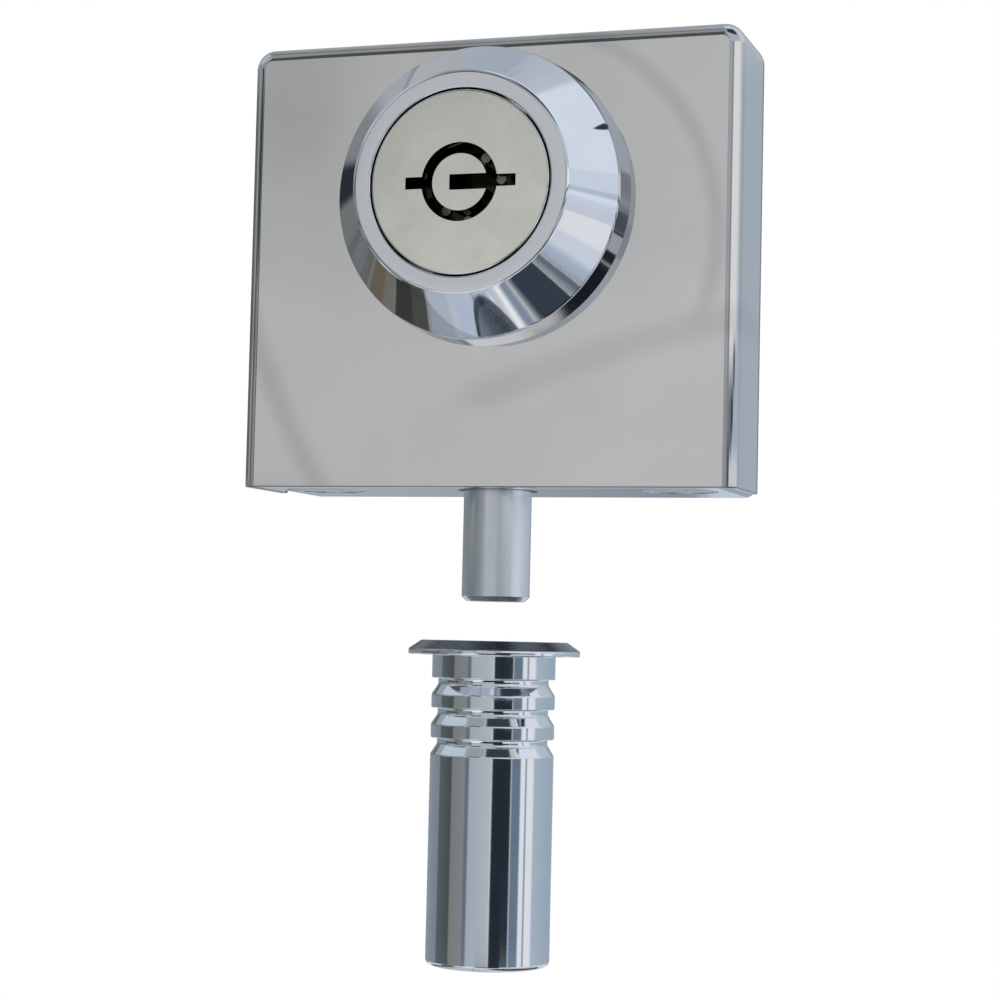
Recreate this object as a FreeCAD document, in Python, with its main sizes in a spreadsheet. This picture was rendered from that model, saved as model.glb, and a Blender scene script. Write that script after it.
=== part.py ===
import FreeCAD, Part
import math
import os
import re
import Sketcher

# Floor lock for a frameless glass door, and the strike that its bolt drops into.
#
# The frame: the key cylinder's axis meets the front face of the glass at the origin. X runs to the
# right as the key's user sees it, Y runs from the user into the glass, and Z runs up. All sizes are
# millimetres. At rest the bolt is out, as it is when the door is locked.

Vector = FreeCAD.Vector
document = FreeCAD.newDocument("glass_door_lock")
sheet = document.addObject("Spreadsheet::Sheet", "sizes")

# The sizes that can each be set by themselves.
sizes = {
    # The pressed cover, open at the bottom and the back.
    "cover_width": 75.0,
    "cover_height": 66.0,
    "cover_depth": 15.0,
    "cover_sheet": 1.2,
    "cover_edge_radius": 2.0,
    "cover_corner_radius": 3.0,
    "axis_height": 42.0,
    # The die-cast case inside it.
    "body_depth": 24.0,
    "case_gap": 0.2,
    "case_side_gap": 0.6,
    "case_corner_radius": 6.0,
    "case_wall": 1.8,
    "case_roof": 2.4,
    "case_floor": 6.0,
    "case_edge_radius": 1.2,
    "cavity_left": 6.3,
    # The plate that closes the case.
    "plate_thick": 2.0,
    "plate_half": 17.5,
    "plate_margin": 2.5,
    "plate_top_margin": 1.5,
    "plate_screw_radius": 1.25,
    "plate_screw_head": 2.4,
    "plate_screw_length": 7.0,
    "plate_screw_inset": 3.2,
    "plate_screw_sink": 1.0,
    # The conical collar and the key cylinder's housing.
    "collar_height": 12.4,
    "collar_radius": 21.2,
    "collar_flare": 0.4,
    "collar_side": 4.5,
    "collar_ring_radius": 15.85,
    "collar_web": 2.5,
    "collar_softening": 0.35,
    "head_radius": 13.15,
    "head_gap": 0.2,
    "housing_radius": 9.5,
    "housing_room": 0.3,
    "nut_wall": 1.75,
    "nut_thick": 3.5,
    "nut_room": 0.5,
    # The annular keyway.
    "keyway_radius": 5.6,
    "lip_thick": 2.0,
    "nib_room": 2.4,
    "notch_right": 2.7,
    "notch_left": 2.4,
    "notch_high": 1.7,
    "post_radius": 4.05,
    "post_back": 0.2,
    "slot_high": 2.2,
    "slot_start": 1.5,
    "slot_deep": 5.0,
    "keyway_deep": 6.0,
    # The spindle and its tumblers.
    "chamber_radius": 7.7,
    "flange_thick": 4.0,
    "shaft_radius": 3.0,
    "running_gap": 0.05,
    "tail_square": 4.0,
    "pin_circle": 4.82,
    "pin_radius": 0.7,
    "pin_gap": 0.05,
    "pin_count": 7,
    "driver_length": 3.0,
    "chamber_length": 11.0,
    "chamber_wall": 0.2,
    "pin_spring_bore": 0.35,
    "shear_gap": 0.1,
    "lock_pin_radius": 1.0,
    "lock_pin_back": 4.0,
    # The pinion and the rack.
    "gear_module": 0.8,
    "pinion_teeth": 12,
    "pressure_angle": 25.0,
    "tooth_backlash": 0.12,
    "tooth_clearance": 0.2,
    "gear_width": 4.0,
    "gear_room": 2.4,
    "housing_to_gear": 0.6,
    "rack_back": 10.0,
    "slide_gap": 0.3,
    "lug_left": 4.0,
    "washer_thick": 0.5,
    "washer_radius": 3.6,
    "gear_screw_radius": 1.25,
    "gear_screw_head": 2.2,
    "gear_screw_head_thick": 1.3,
    "gear_screw_length": 6.0,
    # The bolt.
    "bolt_radius": 5.0,
    "bolt_depth": 8.5,
    "bolt_reach": 16.3,
    "bolt_chamfer": 0.7,
    "bolt_head": 7.5,
    "bolt_flat": 1.5,
    "bush_wall": 0.8,
    "rod_screw_radius": 1.5,
    "rod_screw_head": 2.75,
    "rod_screw_head_thick": 3.0,
    "rod_screw_length": 6.0,
    "rod_screw_socket": 2.5,
    "rod_screw_socket_deep": 1.5,
    # The two screws in the bottom face and the lugs that they pull.
    "screw_spacing": 54.6,
    "screw_head": 5.6,
    "screw_head_thick": 2.0,
    "screw_web": 1.7,
    "screw_radius": 2.5,
    "screw_slot_wide": 1.3,
    "screw_slot_deep": 1.1,
    "lug_wide": 9.0,
    "lug_high": 8.0,
    "lug_behind": 4.5,
    "seat_gap": 0.1,
    # The screwdriver slots of the small screws, the room past a screw's tip, and how far a cut
    # starts outside the piece that it cuts.
    "small_slot_wide": 0.6,
    "small_slot_deep": 0.5,
    "tip_room": 1.0,
    "overrun": 1.0,
    # The clamp through the glass.
    "glass_thick": 10.0,
    "gasket_thick": 1.0,
    "gasket_inset": 2.0,
    "rear_width": 62.0,
    "rear_height": 56.0,
    "rear_thick": 4.0,
    "rear_corner": 5.0,
    "rear_edge": 1.0,
    "rear_drop": 10.0,
    "clamp_inset": 7.0,
    "clamp_radius": 3.0,
    "clamp_head": 6.0,
    "clamp_grip": 12.0,
    "clamp_socket": 4.0,
    "clamp_socket_deep": 2.6,
    "sleeve_radius": 6.0,
    # The strike.
    "strike_gap": 5.8,
    "strike_length": 47.0,
    "strike_radius": 9.05,
    "flange_radius": 12.6,
    "flange_flat": 10.7,
    "flange_bevel": 1.3,
    "flange_rim": 0.8,
    "groove_start": 5.5,
    "groove_pitch": 4.35,
    "groove_deep": 0.95,
    "groove_floor": 0.9,
    "groove_slope": 1.5,
    "groove_count": 3,
    "foot_radius": 0.8,
    "mouth_radius": 5.4,
    "mouth_length": 5.0,
    "bore_radius": 7.0,
    "plunger_gap": 0.08,
    "plunger_length": 13.0,
    "plunger_stroke": 14.0,
    "plunger_skirt": 4.0,
    "plunger_spigot": 3.6,
    "plunger_softening": 0.3,
    "spring_wire": 0.9,
    "spring_radius": 5.1,
    "spring_turns": 9,
    "strike_cap_thick": 3.0,
}
for row, (name, value) in enumerate(sizes.items(), start=1):
    sheet.set("A%d" % row, name)
    sheet.set("B%d" % row, str(value))
    sheet.setAlias("B%d" % row, name)
document.recompute()

# Places and sizes that follow from the ones above.
places = {
    "front": "-(gasket_thick + body_depth)",
    "sheet_back": "front + cover_sheet",
    "cover_back": "front + cover_depth",
    "cover_bottom": "-axis_height",
    "cover_top": "cover_height - axis_height",
    "cover_half": "cover_width / 2",
    "case_front": "sheet_back + case_gap",
    "case_back": "-gasket_thick",
    "case_half": "cover_half - cover_sheet - case_side_gap",
    "case_top": "cover_top - cover_sheet - case_gap",
    "cavity_front": "case_front + case_wall",
    "cavity_back": "case_back - plate_thick",
    "cavity_top": "case_top - case_roof",
    "cavity_right": "rack_back + slide_gap",
    "floor_top": "cover_bottom + case_floor",
    "plate_bottom": "cover_bottom + plate_margin",
    "plate_top": "case_top - plate_top_margin",
    "collar_front": "front - collar_height",
    "shoulder": "front - collar_web",
    "web_radius": "housing_radius + housing_room",
    "recess_radius": "head_radius + head_gap",
    "nut_flats": "2 * (housing_radius + nut_wall)",
    "well_radius": "nut_flats / sqrt(3) + nut_room",
    "gear_back": "cavity_back - gear_room",
    "gear_front": "gear_back - gear_width",
    "housing_back": "gear_front - housing_to_gear",
    "groove_front": "collar_front + lip_thick",
    "groove_back": "groove_front + nib_room",
    "nib_radius": "keyway_radius + max(notch_right; notch_left) + running_gap",
    "flange_front": "collar_front + keyway_deep",
    "shear_line": "flange_front + flange_thick",
    "post_front": "collar_front + post_back",
    "tail_start": "housing_back + slide_gap",
    "sleeve_front": "shear_line + shear_gap",
    "sleeve_back": "housing_back - slide_gap",
    "lock_pin_place": "sleeve_back - lock_pin_back",
    "lock_pin_foot": "pin_circle + pin_radius + chamber_wall",
    "plate_screw_place": "plate_half - plate_screw_inset",
    "pitch_radius": "gear_module * pinion_teeth / 2",
    "tooth_pitch": "pi * gear_module",
    "bolt_travel": "pi * pitch_radius",
    "rack_tips": "pitch_radius - gear_module",
    "rack_roots": "pitch_radius + gear_module + tooth_clearance",
    "gap_at_pitch": "tooth_pitch / 2 + tooth_backlash / 2",
    "gap_at_tips": "gap_at_pitch + 2 * gear_module * tan(pressure_angle)",
    "gap_at_roots": "gap_at_pitch - 2 * (gear_module + tooth_clearance) * tan(pressure_angle)",
    "rack_top": "1.5 * tooth_pitch + gear_module",
    "bolt_plane": "front + bolt_depth",
    "bolt_end": "cover_bottom - bolt_reach",
    "rod_top": "floor_top + bolt_head",
    "rod_lug_bottom": "floor_top + slide_gap",
    "rod_lug_top": "rod_top - slide_gap",
    "flat_plane": "bolt_plane + bolt_radius - bolt_flat",
    "bush_bore": "bolt_radius + running_gap",
    "bush_radius": "bush_bore + bush_wall",
    "rod_screw_seat": "gear_back - rod_screw_head_thick",
    "rod_screw_height": "(rod_lug_bottom + rod_lug_top) / 2",
    "gear_screw_face": "gear_back + washer_thick + gear_screw_head_thick",
    "screw_face": "cover_bottom + seat_gap",
    "screw_seat": "screw_face + screw_head_thick",
    "lug_bottom": "screw_seat + screw_web",
    "lug_top": "lug_bottom + lug_high",
    "lug_back": "bolt_plane + lug_behind",
    "rear_front": "glass_thick + gasket_thick",
    "rear_back": "rear_front + rear_thick",
    "clamp_half": "rear_width / 2 - clamp_inset",
    "rear_bottom": "-rear_drop - rear_height / 2",
    "rear_top": "-rear_drop + rear_height / 2",
    "strike_top": "bolt_end - strike_gap",
    "strike_foot": "strike_top - strike_length",
    "plunger_radius": "mouth_radius - plunger_gap",
    "skirt_radius": "bore_radius - plunger_gap",
    "skirt_top": "strike_top - mouth_length - running_gap",
    "skirt_bottom": "skirt_top - plunger_skirt",
    "plunger_foot": "strike_top - plunger_length",
    "cap_top": "strike_foot + strike_cap_thick",
}


def bound(formula):
    """A formula in plain names, rewritten so that it reads the sheet."""

    def swap(match):
        word = match.group(0)
        if word in places:
            return "(" + bound(places[word]) + ")"
        if word in sizes:
            return "sizes." + word
        return word

    return re.sub(r"[a-z_]+", swap, formula)


def number(formula):
    """What a formula comes to at the sheet's present sizes."""
    return float(reader.evalExpression(bound(formula)))


reader = document.addObject("App::FeaturePython", "reader")
nodes = []


def new_body(name):
    """An empty body for one solid piece."""
    body = document.addObject("PartDesign::Body", name)
    body.Label = name
    return body


def sketch_on(body, role, name, right="0", up="0", out="0"):
    """A sketch on one of the body's own planes, moved along its own right, up and normal."""
    sketch = body.newObject("Sketcher::SketchObject", name)
    plane = [feature for feature in body.Origin.OriginFeatures if feature.Role == role][0]
    sketch.AttachmentSupport = [(plane, "")]
    sketch.MapMode = "FlatFace"
    for axis, formula in zip("xyz", (right, up, out)):
        sketch.setExpression("AttachmentOffset.Base." + axis, bound(formula))
    return sketch


def facing(body, name, depth, right="0", up="0"):
    """A sketch square to the cylinder's axis, at a depth along Y. Its normal points to the user."""
    return sketch_on(body, "XZ_Plane", name, right, up, "-(" + depth + ")")


def hold(sketch, kind, index, point, formula):
    """Ties one coordinate of a point to a formula."""
    if formula == "0":
        axis = -2 if kind == "DistanceX" else -1
        sketch.addConstraint(Sketcher.Constraint("PointOnObject", index, point, axis))
        return
    place = sketch.addConstraint(Sketcher.Constraint(kind, index, point, number(formula)))
    sketch.setExpression("Constraints[%d]" % place, bound(formula))


def outline(sketch, corners):
    """A closed outline of straight lines. Each corner is a pair of formulas."""
    first = sketch.GeometryCount
    count = len(corners)
    spots = [Vector(number(right), number(up), 0) for right, up in corners]
    for index in range(count):
        line = Part.LineSegment(spots[index], spots[(index + 1) % count])
        sketch.addGeometry(line, False)
    for index in range(count):
        following = first + (index + 1) % count
        sketch.addConstraint(Sketcher.Constraint("Coincident", first + index, 2, following, 1))
    for index, (right, up) in enumerate(corners):
        hold(sketch, "DistanceX", first + index, 1, right)
        hold(sketch, "DistanceY", first + index, 1, up)
    return sketch


def rectangle(sketch, left, right, low, high):
    """A closed rectangle between four formulas."""
    return outline(sketch, [(left, low), (right, low), (right, high), (left, high)])


def hexagon(sketch, flats):
    """A closed hexagon round the sketch's origin, with one corner to the right."""
    return outline(sketch, [
        ("%s / sqrt(3) * cos(%d)" % (flats, angle), "%s / sqrt(3) * sin(%d)" % (flats, angle))
        for angle in range(0, 360, 60)])


def circle(sketch, radius, right="0", up="0"):
    """A circle with its centre and radius tied to formulas."""
    centre = Vector(number(right), number(up), 0)
    index = sketch.addGeometry(Part.Circle(centre, Vector(0, 0, 1), number(radius)), False)
    hold(sketch, "DistanceX", index, 3, right)
    hold(sketch, "DistanceY", index, 3, up)
    place = sketch.addConstraint(Sketcher.Constraint("Radius", index, number(radius)))
    sketch.setExpression("Constraints[%d]" % place, bound(radius))
    return sketch


def slot_across(sketch, head, wide):
    """A screwdriver slot's outline, level and right across a round head."""
    return rectangle(
        sketch, "-(" + head + " + overrun)", head + " + overrun", "-" + wide + " / 2", wide + " / 2")


def pad(body, sketch, length, against=False):
    """Adds the sketch's outline drawn out along its normal, or against it."""
    feature = body.newObject("PartDesign::Pad", sketch.Name + "_pad")
    feature.Profile = sketch
    feature.Reversed = against
    feature.setExpression("Length", bound(length))
    document.recompute()
    return feature


def pocket(body, sketch, length, along=False):
    """Cuts the sketch's outline against its normal, or along it."""
    before = body.Shape.Volume
    feature = body.newObject("PartDesign::Pocket", sketch.Name + "_cut")
    feature.Profile = sketch
    feature.Reversed = along
    feature.setExpression("Length", bound(length))
    document.recompute()
    if body.Shape.Volume >= before:
        raise ValueError(feature.Name + " cuts nothing")
    return feature


def turn(body, sketch):
    """Turns an outline round the sketch's own upright axis."""
    feature = body.newObject("PartDesign::Revolution", sketch.Name + "_turned")
    feature.Profile = sketch
    feature.ReferenceAxis = (sketch, ["V_Axis"])
    feature.Angle = 360
    document.recompute()
    return feature


def edges(feature, wanted):
    """Names of the edges that wanted accepts."""
    return ["Edge%d" % place for place, edge in enumerate(feature.Shape.Edges, start=1) if wanted(edge)]


def near(value, formula):
    """Whether a coordinate lies at a formula's place."""
    return abs(value - number(formula)) < 1e-4


def soften(body, feature, wanted, radius, kind="Fillet"):
    """Rounds the edges that wanted accepts, or bevels them."""
    softened = body.newObject("PartDesign::" + kind, body.Name + "_" + kind.lower())
    softened.Base = (feature, edges(feature, wanted))
    softened.setExpression("Radius" if kind == "Fillet" else "Size", bound(radius))
    document.recompute()
    return softened


def runs_along(edge, axis):
    """Whether a straight edge runs along one axis, given as x, y or z."""
    if not isinstance(edge.Curve, Part.Line):
        return False
    return abs(abs(getattr(edge.Curve.Direction, axis)) - 1) < 1e-6


def lies_at(edge, axis, formula):
    """Whether a whole edge lies in the plane at a formula's place along one axis."""
    box = edge.BoundBox
    low = getattr(box, axis.upper() + "Min")
    high = getattr(box, axis.upper() + "Max")
    return near(low, formula) and near(high, formula)


def is_ring(edge, radius, depth):
    """Whether an edge is a circle round the cylinder's axis at one radius and one depth."""
    if not isinstance(edge.Curve, Part.Circle) or not lies_at(edge, "y", depth):
        return False
    return near(edge.Curve.Radius, radius)


def is_hoop(edge, radius, height):
    """Whether an edge is a level circle at one radius and one height."""
    if not isinstance(edge.Curve, Part.Circle) or not lies_at(edge, "z", height):
        return False
    return near(edge.Curve.Radius, radius)


def mirrored(piece, normal, name):
    """A mirror image of a piece, through the origin."""
    image = document.addObject("Part::Mirroring", name)
    image.Source = piece
    image.Normal = normal
    return image


def group(name, pieces):
    """Like pieces as one node of separate solids."""
    compound = document.addObject("Part::Compound", name)
    compound.Links = pieces
    return compound


def keep(piece, name):
    """Makes a finished piece one of the lock's nodes."""
    piece.Label = name
    nodes.append(piece)


def left_and_right(piece, name):
    """A piece and its mirror image across the middle as one node."""
    image = mirrored(piece, Vector(1, 0, 0), name + "_image")
    keep(group(name + "_pair", [piece, image]), name)


# Front cover: a pressed pan of polished stainless sheet with rounded upper corners and front edges.
# It is cut off square at the bottom, and its face has the hole that the housing passes through.
cover = new_body("cover")
cover_sketch = facing(cover, "cover_outline", "front")
rectangle(cover_sketch, "-cover_half", "cover_half", "cover_bottom", "cover_top")
cover_block = pad(cover, cover_sketch, "cover_depth", against=True)
cover_corners = soften(
    cover, cover_block, lambda edge: runs_along(edge, "y") and lies_at(edge, "z", "cover_top"),
    "cover_corner_radius")
cover_edges = soften(
    cover, cover_corners,
    lambda edge: lies_at(edge, "y", "front") and not lies_at(edge, "z", "cover_bottom"),
    "cover_edge_radius")
cover_shell = cover.newObject("PartDesign::Thickness", "cover_shell")
open_faces = []
for place, face in enumerate(cover_edges.Shape.Faces, start=1):
    middle = face.CenterOfMass
    if near(middle.y, "cover_back") or near(middle.z, "cover_bottom"):
        open_faces.append("Face%d" % place)
cover_shell.Base = (cover_edges, open_faces)
cover_shell.Reversed = True
cover_shell.setExpression("Value", bound("cover_sheet"))
document.recompute()
cover_hole = circle(facing(cover, "cover_hole", "front"), "web_radius")
pocket(cover, cover_hole, "cover_sheet + overrun")
keep(cover, "front_cover")

# Cover lugs: two threaded blocks spot-welded to the back of the cover's face.
lug = new_body("cover_lug")
lug_sketch = facing(lug, "lug_outline", "sheet_back", right="screw_spacing / 2")
rectangle(lug_sketch, "-lug_wide / 2", "lug_wide / 2", "lug_bottom", "lug_top")
pad(lug, lug_sketch, "lug_back - sheet_back", against=True)
lug_hole = sketch_on(lug, "XY_Plane", "lug_hole", "screw_spacing / 2", "bolt_plane", "lug_top")
pocket(lug, circle(lug_hole, "screw_radius + running_gap"), "lug_high")
left_and_right(lug, "cover_lugs")

# Cover screws: large flat slotted heads, let into the case's bottom face.
cover_screw = new_body("cover_screw")
head_sketch = sketch_on(
    cover_screw, "XY_Plane", "screw_head", "screw_spacing / 2", "bolt_plane", "screw_face")
pad(cover_screw, circle(head_sketch, "screw_head"), "screw_head_thick")
shank_sketch = sketch_on(
    cover_screw, "XY_Plane", "screw_shank", "screw_spacing / 2", "bolt_plane", "screw_seat")
pad(cover_screw, circle(shank_sketch, "screw_radius"), "screw_web + lug_high")
slot_sketch = sketch_on(
    cover_screw, "XY_Plane", "screw_slot", "screw_spacing / 2", "bolt_plane", "screw_face")
slot_across(slot_sketch, "screw_head", "screw_slot_wide")
pocket(cover_screw, slot_sketch, "screw_slot_deep", along=True)
left_and_right(cover_screw, "cover_screws")

# Lock case: a zinc die casting. The mechanism's cavity, the well for the cylinder's nut and the
# seat of the back plate are open to the back; the bolt and the two screws come in from below.
case = new_body("case")
case_sketch = facing(case, "case_outline", "case_front")
rectangle(case_sketch, "-case_half", "case_half", "cover_bottom", "case_top")
case_block = pad(case, case_sketch, "case_back - case_front", against=True)
case_upper_corners = soften(
    case, case_block, lambda edge: runs_along(edge, "y") and lies_at(edge, "z", "case_top"),
    "case_corner_radius")
case_corners = soften(
    case, case_upper_corners, lambda edge: runs_along(edge, "y") and lies_at(edge, "z", "cover_bottom"),
    "cover_corner_radius - cover_sheet")
case_front_edges = soften(
    case, case_corners,
    lambda edge: lies_at(edge, "y", "case_front") and not lies_at(edge, "z", "cover_bottom"),
    "cover_edge_radius - cover_sheet")
case_edges = soften(
    case, case_front_edges, lambda edge: lies_at(edge, "y", "case_back"), "case_edge_radius")
cavity = facing(case, "cavity", "case_back")
rectangle(cavity, "-cavity_left", "cavity_right", "floor_top", "cavity_top")
pocket(case, cavity, "case_back - cavity_front", along=True)
well = circle(facing(case, "well", "case_back"), "well_radius")
pocket(case, well, "case_back - cavity_front", along=True)
plate_seat = facing(case, "plate_seat", "case_back")
rectangle(
    plate_seat, "-plate_half - seat_gap", "plate_half + seat_gap", "plate_bottom - seat_gap",
    "plate_top + seat_gap")
pocket(case, plate_seat, "plate_thick", along=True)
housing_hole = circle(facing(case, "housing_hole", "case_front"), "web_radius")
pocket(case, housing_hole, "case_wall + overrun")
bolt_hole = sketch_on(case, "XY_Plane", "bolt_hole", "0", "bolt_plane", "cover_bottom")
pocket(case, circle(bolt_hole, "bush_radius + running_gap"), "case_floor", along=True)
plate_screw_heights = (
    ("low", "plate_bottom + plate_screw_inset"), ("high", "plate_top - plate_screw_inset"))
for side, sign in (("left", "-"), ("right", "")):
    middle = sign + "screw_spacing / 2"
    recess = sketch_on(case, "XY_Plane", side + "_screw_recess", middle, "bolt_plane", "cover_bottom")
    pocket(case, circle(recess, "screw_head + seat_gap"), "screw_seat - cover_bottom", along=True)
    bore = sketch_on(case, "XY_Plane", side + "_screw_bore", middle, "bolt_plane", "screw_seat")
    pocket(case, circle(bore, "screw_radius + seat_gap"), "screw_web + lug_high + 2 * slide_gap", along=True)
    lug_room = facing(case, side + "_lug_room", "case_front", right=middle)
    rectangle(
        lug_room, "-lug_wide / 2 - slide_gap", "lug_wide / 2 + slide_gap", "lug_bottom",
        "lug_top + slide_gap")
    pocket(case, lug_room, "lug_back + slide_gap - case_front")
    clamp_hole = facing(case, side + "_clamp_hole", "case_back", sign + "clamp_half", "-rear_drop")
    pocket(case, circle(clamp_hole, "clamp_radius + running_gap"), "clamp_grip + tip_room", along=True)
    for end, height in plate_screw_heights:
        plate_hole = facing(
            case, side + "_" + end + "_plate_hole", "cavity_back", sign + "plate_screw_place", height)
        circle(plate_hole, "plate_screw_radius + running_gap")
        pocket(case, plate_hole, "plate_screw_length", along=True)
keep(case, "lock_case")

# Case back plate: closes the cavity. The rib on its inner face keeps the rack on the pinion.
plate = new_body("plate")
plate_sketch = facing(plate, "plate_outline", "cavity_back")
rectangle(plate_sketch, "-plate_half", "plate_half", "plate_bottom", "plate_top")
plate_block = pad(plate, plate_sketch, "plate_thick", against=True)
rib = facing(plate, "rack_rib", "cavity_back")
rectangle(rib, "rack_roots + slide_gap", "rack_back", "floor_top + slide_gap", "cavity_top - slide_gap")
pad(plate, rib, "gear_room - slide_gap")
for side, sign in (("left", "-"), ("right", "")):
    for end, height in plate_screw_heights:
        hole = facing(plate, side + "_" + end + "_hole", "case_back", sign + "plate_screw_place", height)
        pocket(plate, circle(hole, "plate_screw_radius + seat_gap"), "plate_thick", along=True)
        sink = facing(plate, side + "_" + end + "_sink", "case_back", sign + "plate_screw_place", height)
        pocket(plate, circle(sink, "plate_screw_head + seat_gap"), "plate_screw_sink", along=True)
keep(plate, "case_back_plate")

# Back plate screws: four small flat-headed screws, each with a slot.
plate_screws = []
for side, sign in (("left", "-"), ("right", "")):
    for end, height in plate_screw_heights:
        screw = new_body("plate_screw_" + side + "_" + end)
        place = sign + "plate_screw_place"
        head = facing(screw, screw.Name + "_head", "case_back - seat_gap", place, height)
        pad(screw, circle(head, "plate_screw_head"), "plate_screw_sink - seat_gap")
        shank = facing(screw, screw.Name + "_shank", "case_back - plate_screw_sink", place, height)
        pad(screw, circle(shank, "plate_screw_radius"), "plate_screw_length")
        slot = facing(screw, screw.Name + "_slot", "case_back - seat_gap", place, height)
        slot_across(slot, "plate_screw_head", "small_slot_wide")
        pocket(screw, slot, "small_slot_deep", along=True)
        plate_screws.append(screw)
keep(group("plate_screws", plate_screws), "back_plate_screws")

# Collar: a turned ring with a short flared side, a cone and a flat ring round the cylinder's head.
collar = new_body("collar_body")
collar_sketch = sketch_on(collar, "XY_Plane", "collar_outline")
outline(collar_sketch, [
    ("web_radius", "front"), ("collar_radius + collar_flare", "front"),
    ("collar_radius", "front - collar_side"),
    ("collar_ring_radius", "collar_front"), ("recess_radius", "collar_front"),
    ("recess_radius", "shoulder"), ("web_radius", "shoulder")])
collar_turned = turn(collar, collar_sketch)
collar_soft = soften(
    collar, collar_turned,
    lambda edge: is_ring(edge, "collar_radius", "front - collar_side")
    or is_ring(edge, "collar_ring_radius", "collar_front"),
    "collar_softening")
soften(
    collar, collar_soft, lambda edge: is_ring(edge, "recess_radius", "collar_front"),
    "collar_softening", "Chamfer")
keep(collar, "collar")

# Cylinder housing: its flat head fills the collar. Behind the keyway's lip lies the groove that the
# key's outer nib turns in, and the two notches let the nib in and out half a turn apart.
housing = new_body("housing")
housing_sketch = sketch_on(housing, "XY_Plane", "housing_outline")
outline(housing_sketch, [
    ("keyway_radius", "collar_front"), ("head_radius", "collar_front"), ("head_radius", "shoulder"),
    ("housing_radius", "shoulder"), ("housing_radius", "housing_back"),
    ("chamber_radius", "housing_back"), ("chamber_radius", "flange_front"),
    ("keyway_radius", "flange_front"), ("keyway_radius", "groove_back"),
    ("nib_radius", "groove_back"), ("nib_radius", "groove_front"), ("keyway_radius", "groove_front")])
turn(housing, housing_sketch)
for side, sign, notch in (("left", "-", "notch_left"), ("right", "", "notch_right")):
    notch_sketch = facing(housing, side + "_notch", "collar_front")
    rectangle(
        notch_sketch, sign + "(keyway_radius - overrun)", sign + "(keyway_radius + " + notch + ")",
        "-notch_high / 2", "notch_high / 2")
    pocket(housing, notch_sketch, "lip_thick")
pin_hole = sketch_on(housing, "XY_Plane", "lock_pin_hole", "0", "lock_pin_place", "housing_radius")
pocket(housing, circle(pin_hole, "lock_pin_radius + pin_gap"), "housing_radius - shaft_radius")
keep(housing, "cylinder_housing")

# Housing nut: hexagon nut that clamps the housing and the collar to the case's front wall.
nut = new_body("nut")
nut_sketch = facing(nut, "nut_outline", "cavity_front")
pad(nut, hexagon(nut_sketch, "nut_flats"), "nut_thick", against=True)
nut_bore = circle(facing(nut, "nut_bore", "cavity_front"), "housing_radius + running_gap")
pocket(nut, nut_bore, "nut_thick")
keep(nut, "housing_nut")

# Spindle: the post inside the keyway with the slot that the key turns it by, the flange with the
# key pins' holes, the shaft through the sleeve and the square tail that carries the pinion.
spindle = new_body("spindle_body")
spindle_sketch = sketch_on(spindle, "XY_Plane", "spindle_outline")
outline(spindle_sketch, [
    ("0", "post_front"), ("post_radius", "post_front"),
    ("post_radius", "flange_front + running_gap"),
    ("chamber_radius - running_gap", "flange_front + running_gap"),
    ("chamber_radius - running_gap", "shear_line"), ("shaft_radius", "shear_line"),
    ("shaft_radius", "tail_start"), ("0", "tail_start")])
turn(spindle, spindle_sketch)
tail = facing(spindle, "tail_outline", "tail_start")
rectangle(tail, "-tail_square / 2", "tail_square / 2", "-tail_square / 2", "tail_square / 2")
pad(spindle, tail, "gear_back - tail_start", against=True)
slot_sketch = facing(spindle, "key_slot", "post_front")
rectangle(slot_sketch, "-slot_start", "post_radius + slot_start", "-slot_high / 2", "slot_high / 2")
pocket(spindle, slot_sketch, "slot_deep")
tail_hole = circle(facing(spindle, "tail_hole", "gear_back"), "gear_screw_radius + running_gap")
pocket(spindle, tail_hole, "gear_screw_length", along=True)
chamber = facing(spindle, "pin_chamber", "shear_line")
pocket(
    spindle, circle(chamber, "pin_radius + pin_gap", "pin_circle * sin(180 / pin_count)",
                    "pin_circle * cos(180 / pin_count)"), "flange_thick", along=True)
chambers = spindle.newObject("PartDesign::PolarPattern", "pin_chambers")
chambers.Originals = [document.getObject("pin_chamber_cut")]
chambers.Axis = (chamber, ["N_Axis"])
chambers.Angle = 360
chambers.setExpression("Occurrences", bound("pin_count"))
spindle.Tip = chambers
document.recompute()
keep(spindle, "spindle")


def ring_of_pins(name, start, lengths, backwards=True, bore=None):
    """Round pins spaced evenly on the pin circle, drawn from one depth backwards or to the user."""
    pins = []
    for place, length in enumerate(lengths):
        angle = "(%d * 360 / pin_count + 180 / pin_count)" % place
        pin = new_body("%s_%d" % (name, place))
        across = "pin_circle * sin%s" % angle
        above = "pin_circle * cos%s" % angle
        pin_sketch = facing(pin, "%s_outline_%d" % (name, place), start, across, above)
        circle(pin_sketch, "pin_radius")
        if bore:
            circle(pin_sketch, bore)
        pad(pin, pin_sketch, length, against=backwards)
        pins.append(pin)
    return group(name + "_ring", pins)


# Key pins: cut to different lengths, so they stand out into the keyway by different amounts. They
# are drawn as the right key holds them, with their back ends on the shear line.
key_pin_steps = (0.6, 1.3, 0.9, 1.6, 0.4, 1.1, 0.7)
pin_places = range(int(number("pin_count")))
key_pin_lengths = ["flange_thick + %g" % key_pin_steps[place % len(key_pin_steps)] for place in pin_places]
keep(ring_of_pins("key_pin", "shear_line", key_pin_lengths, backwards=False), "key_pins")

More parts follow.
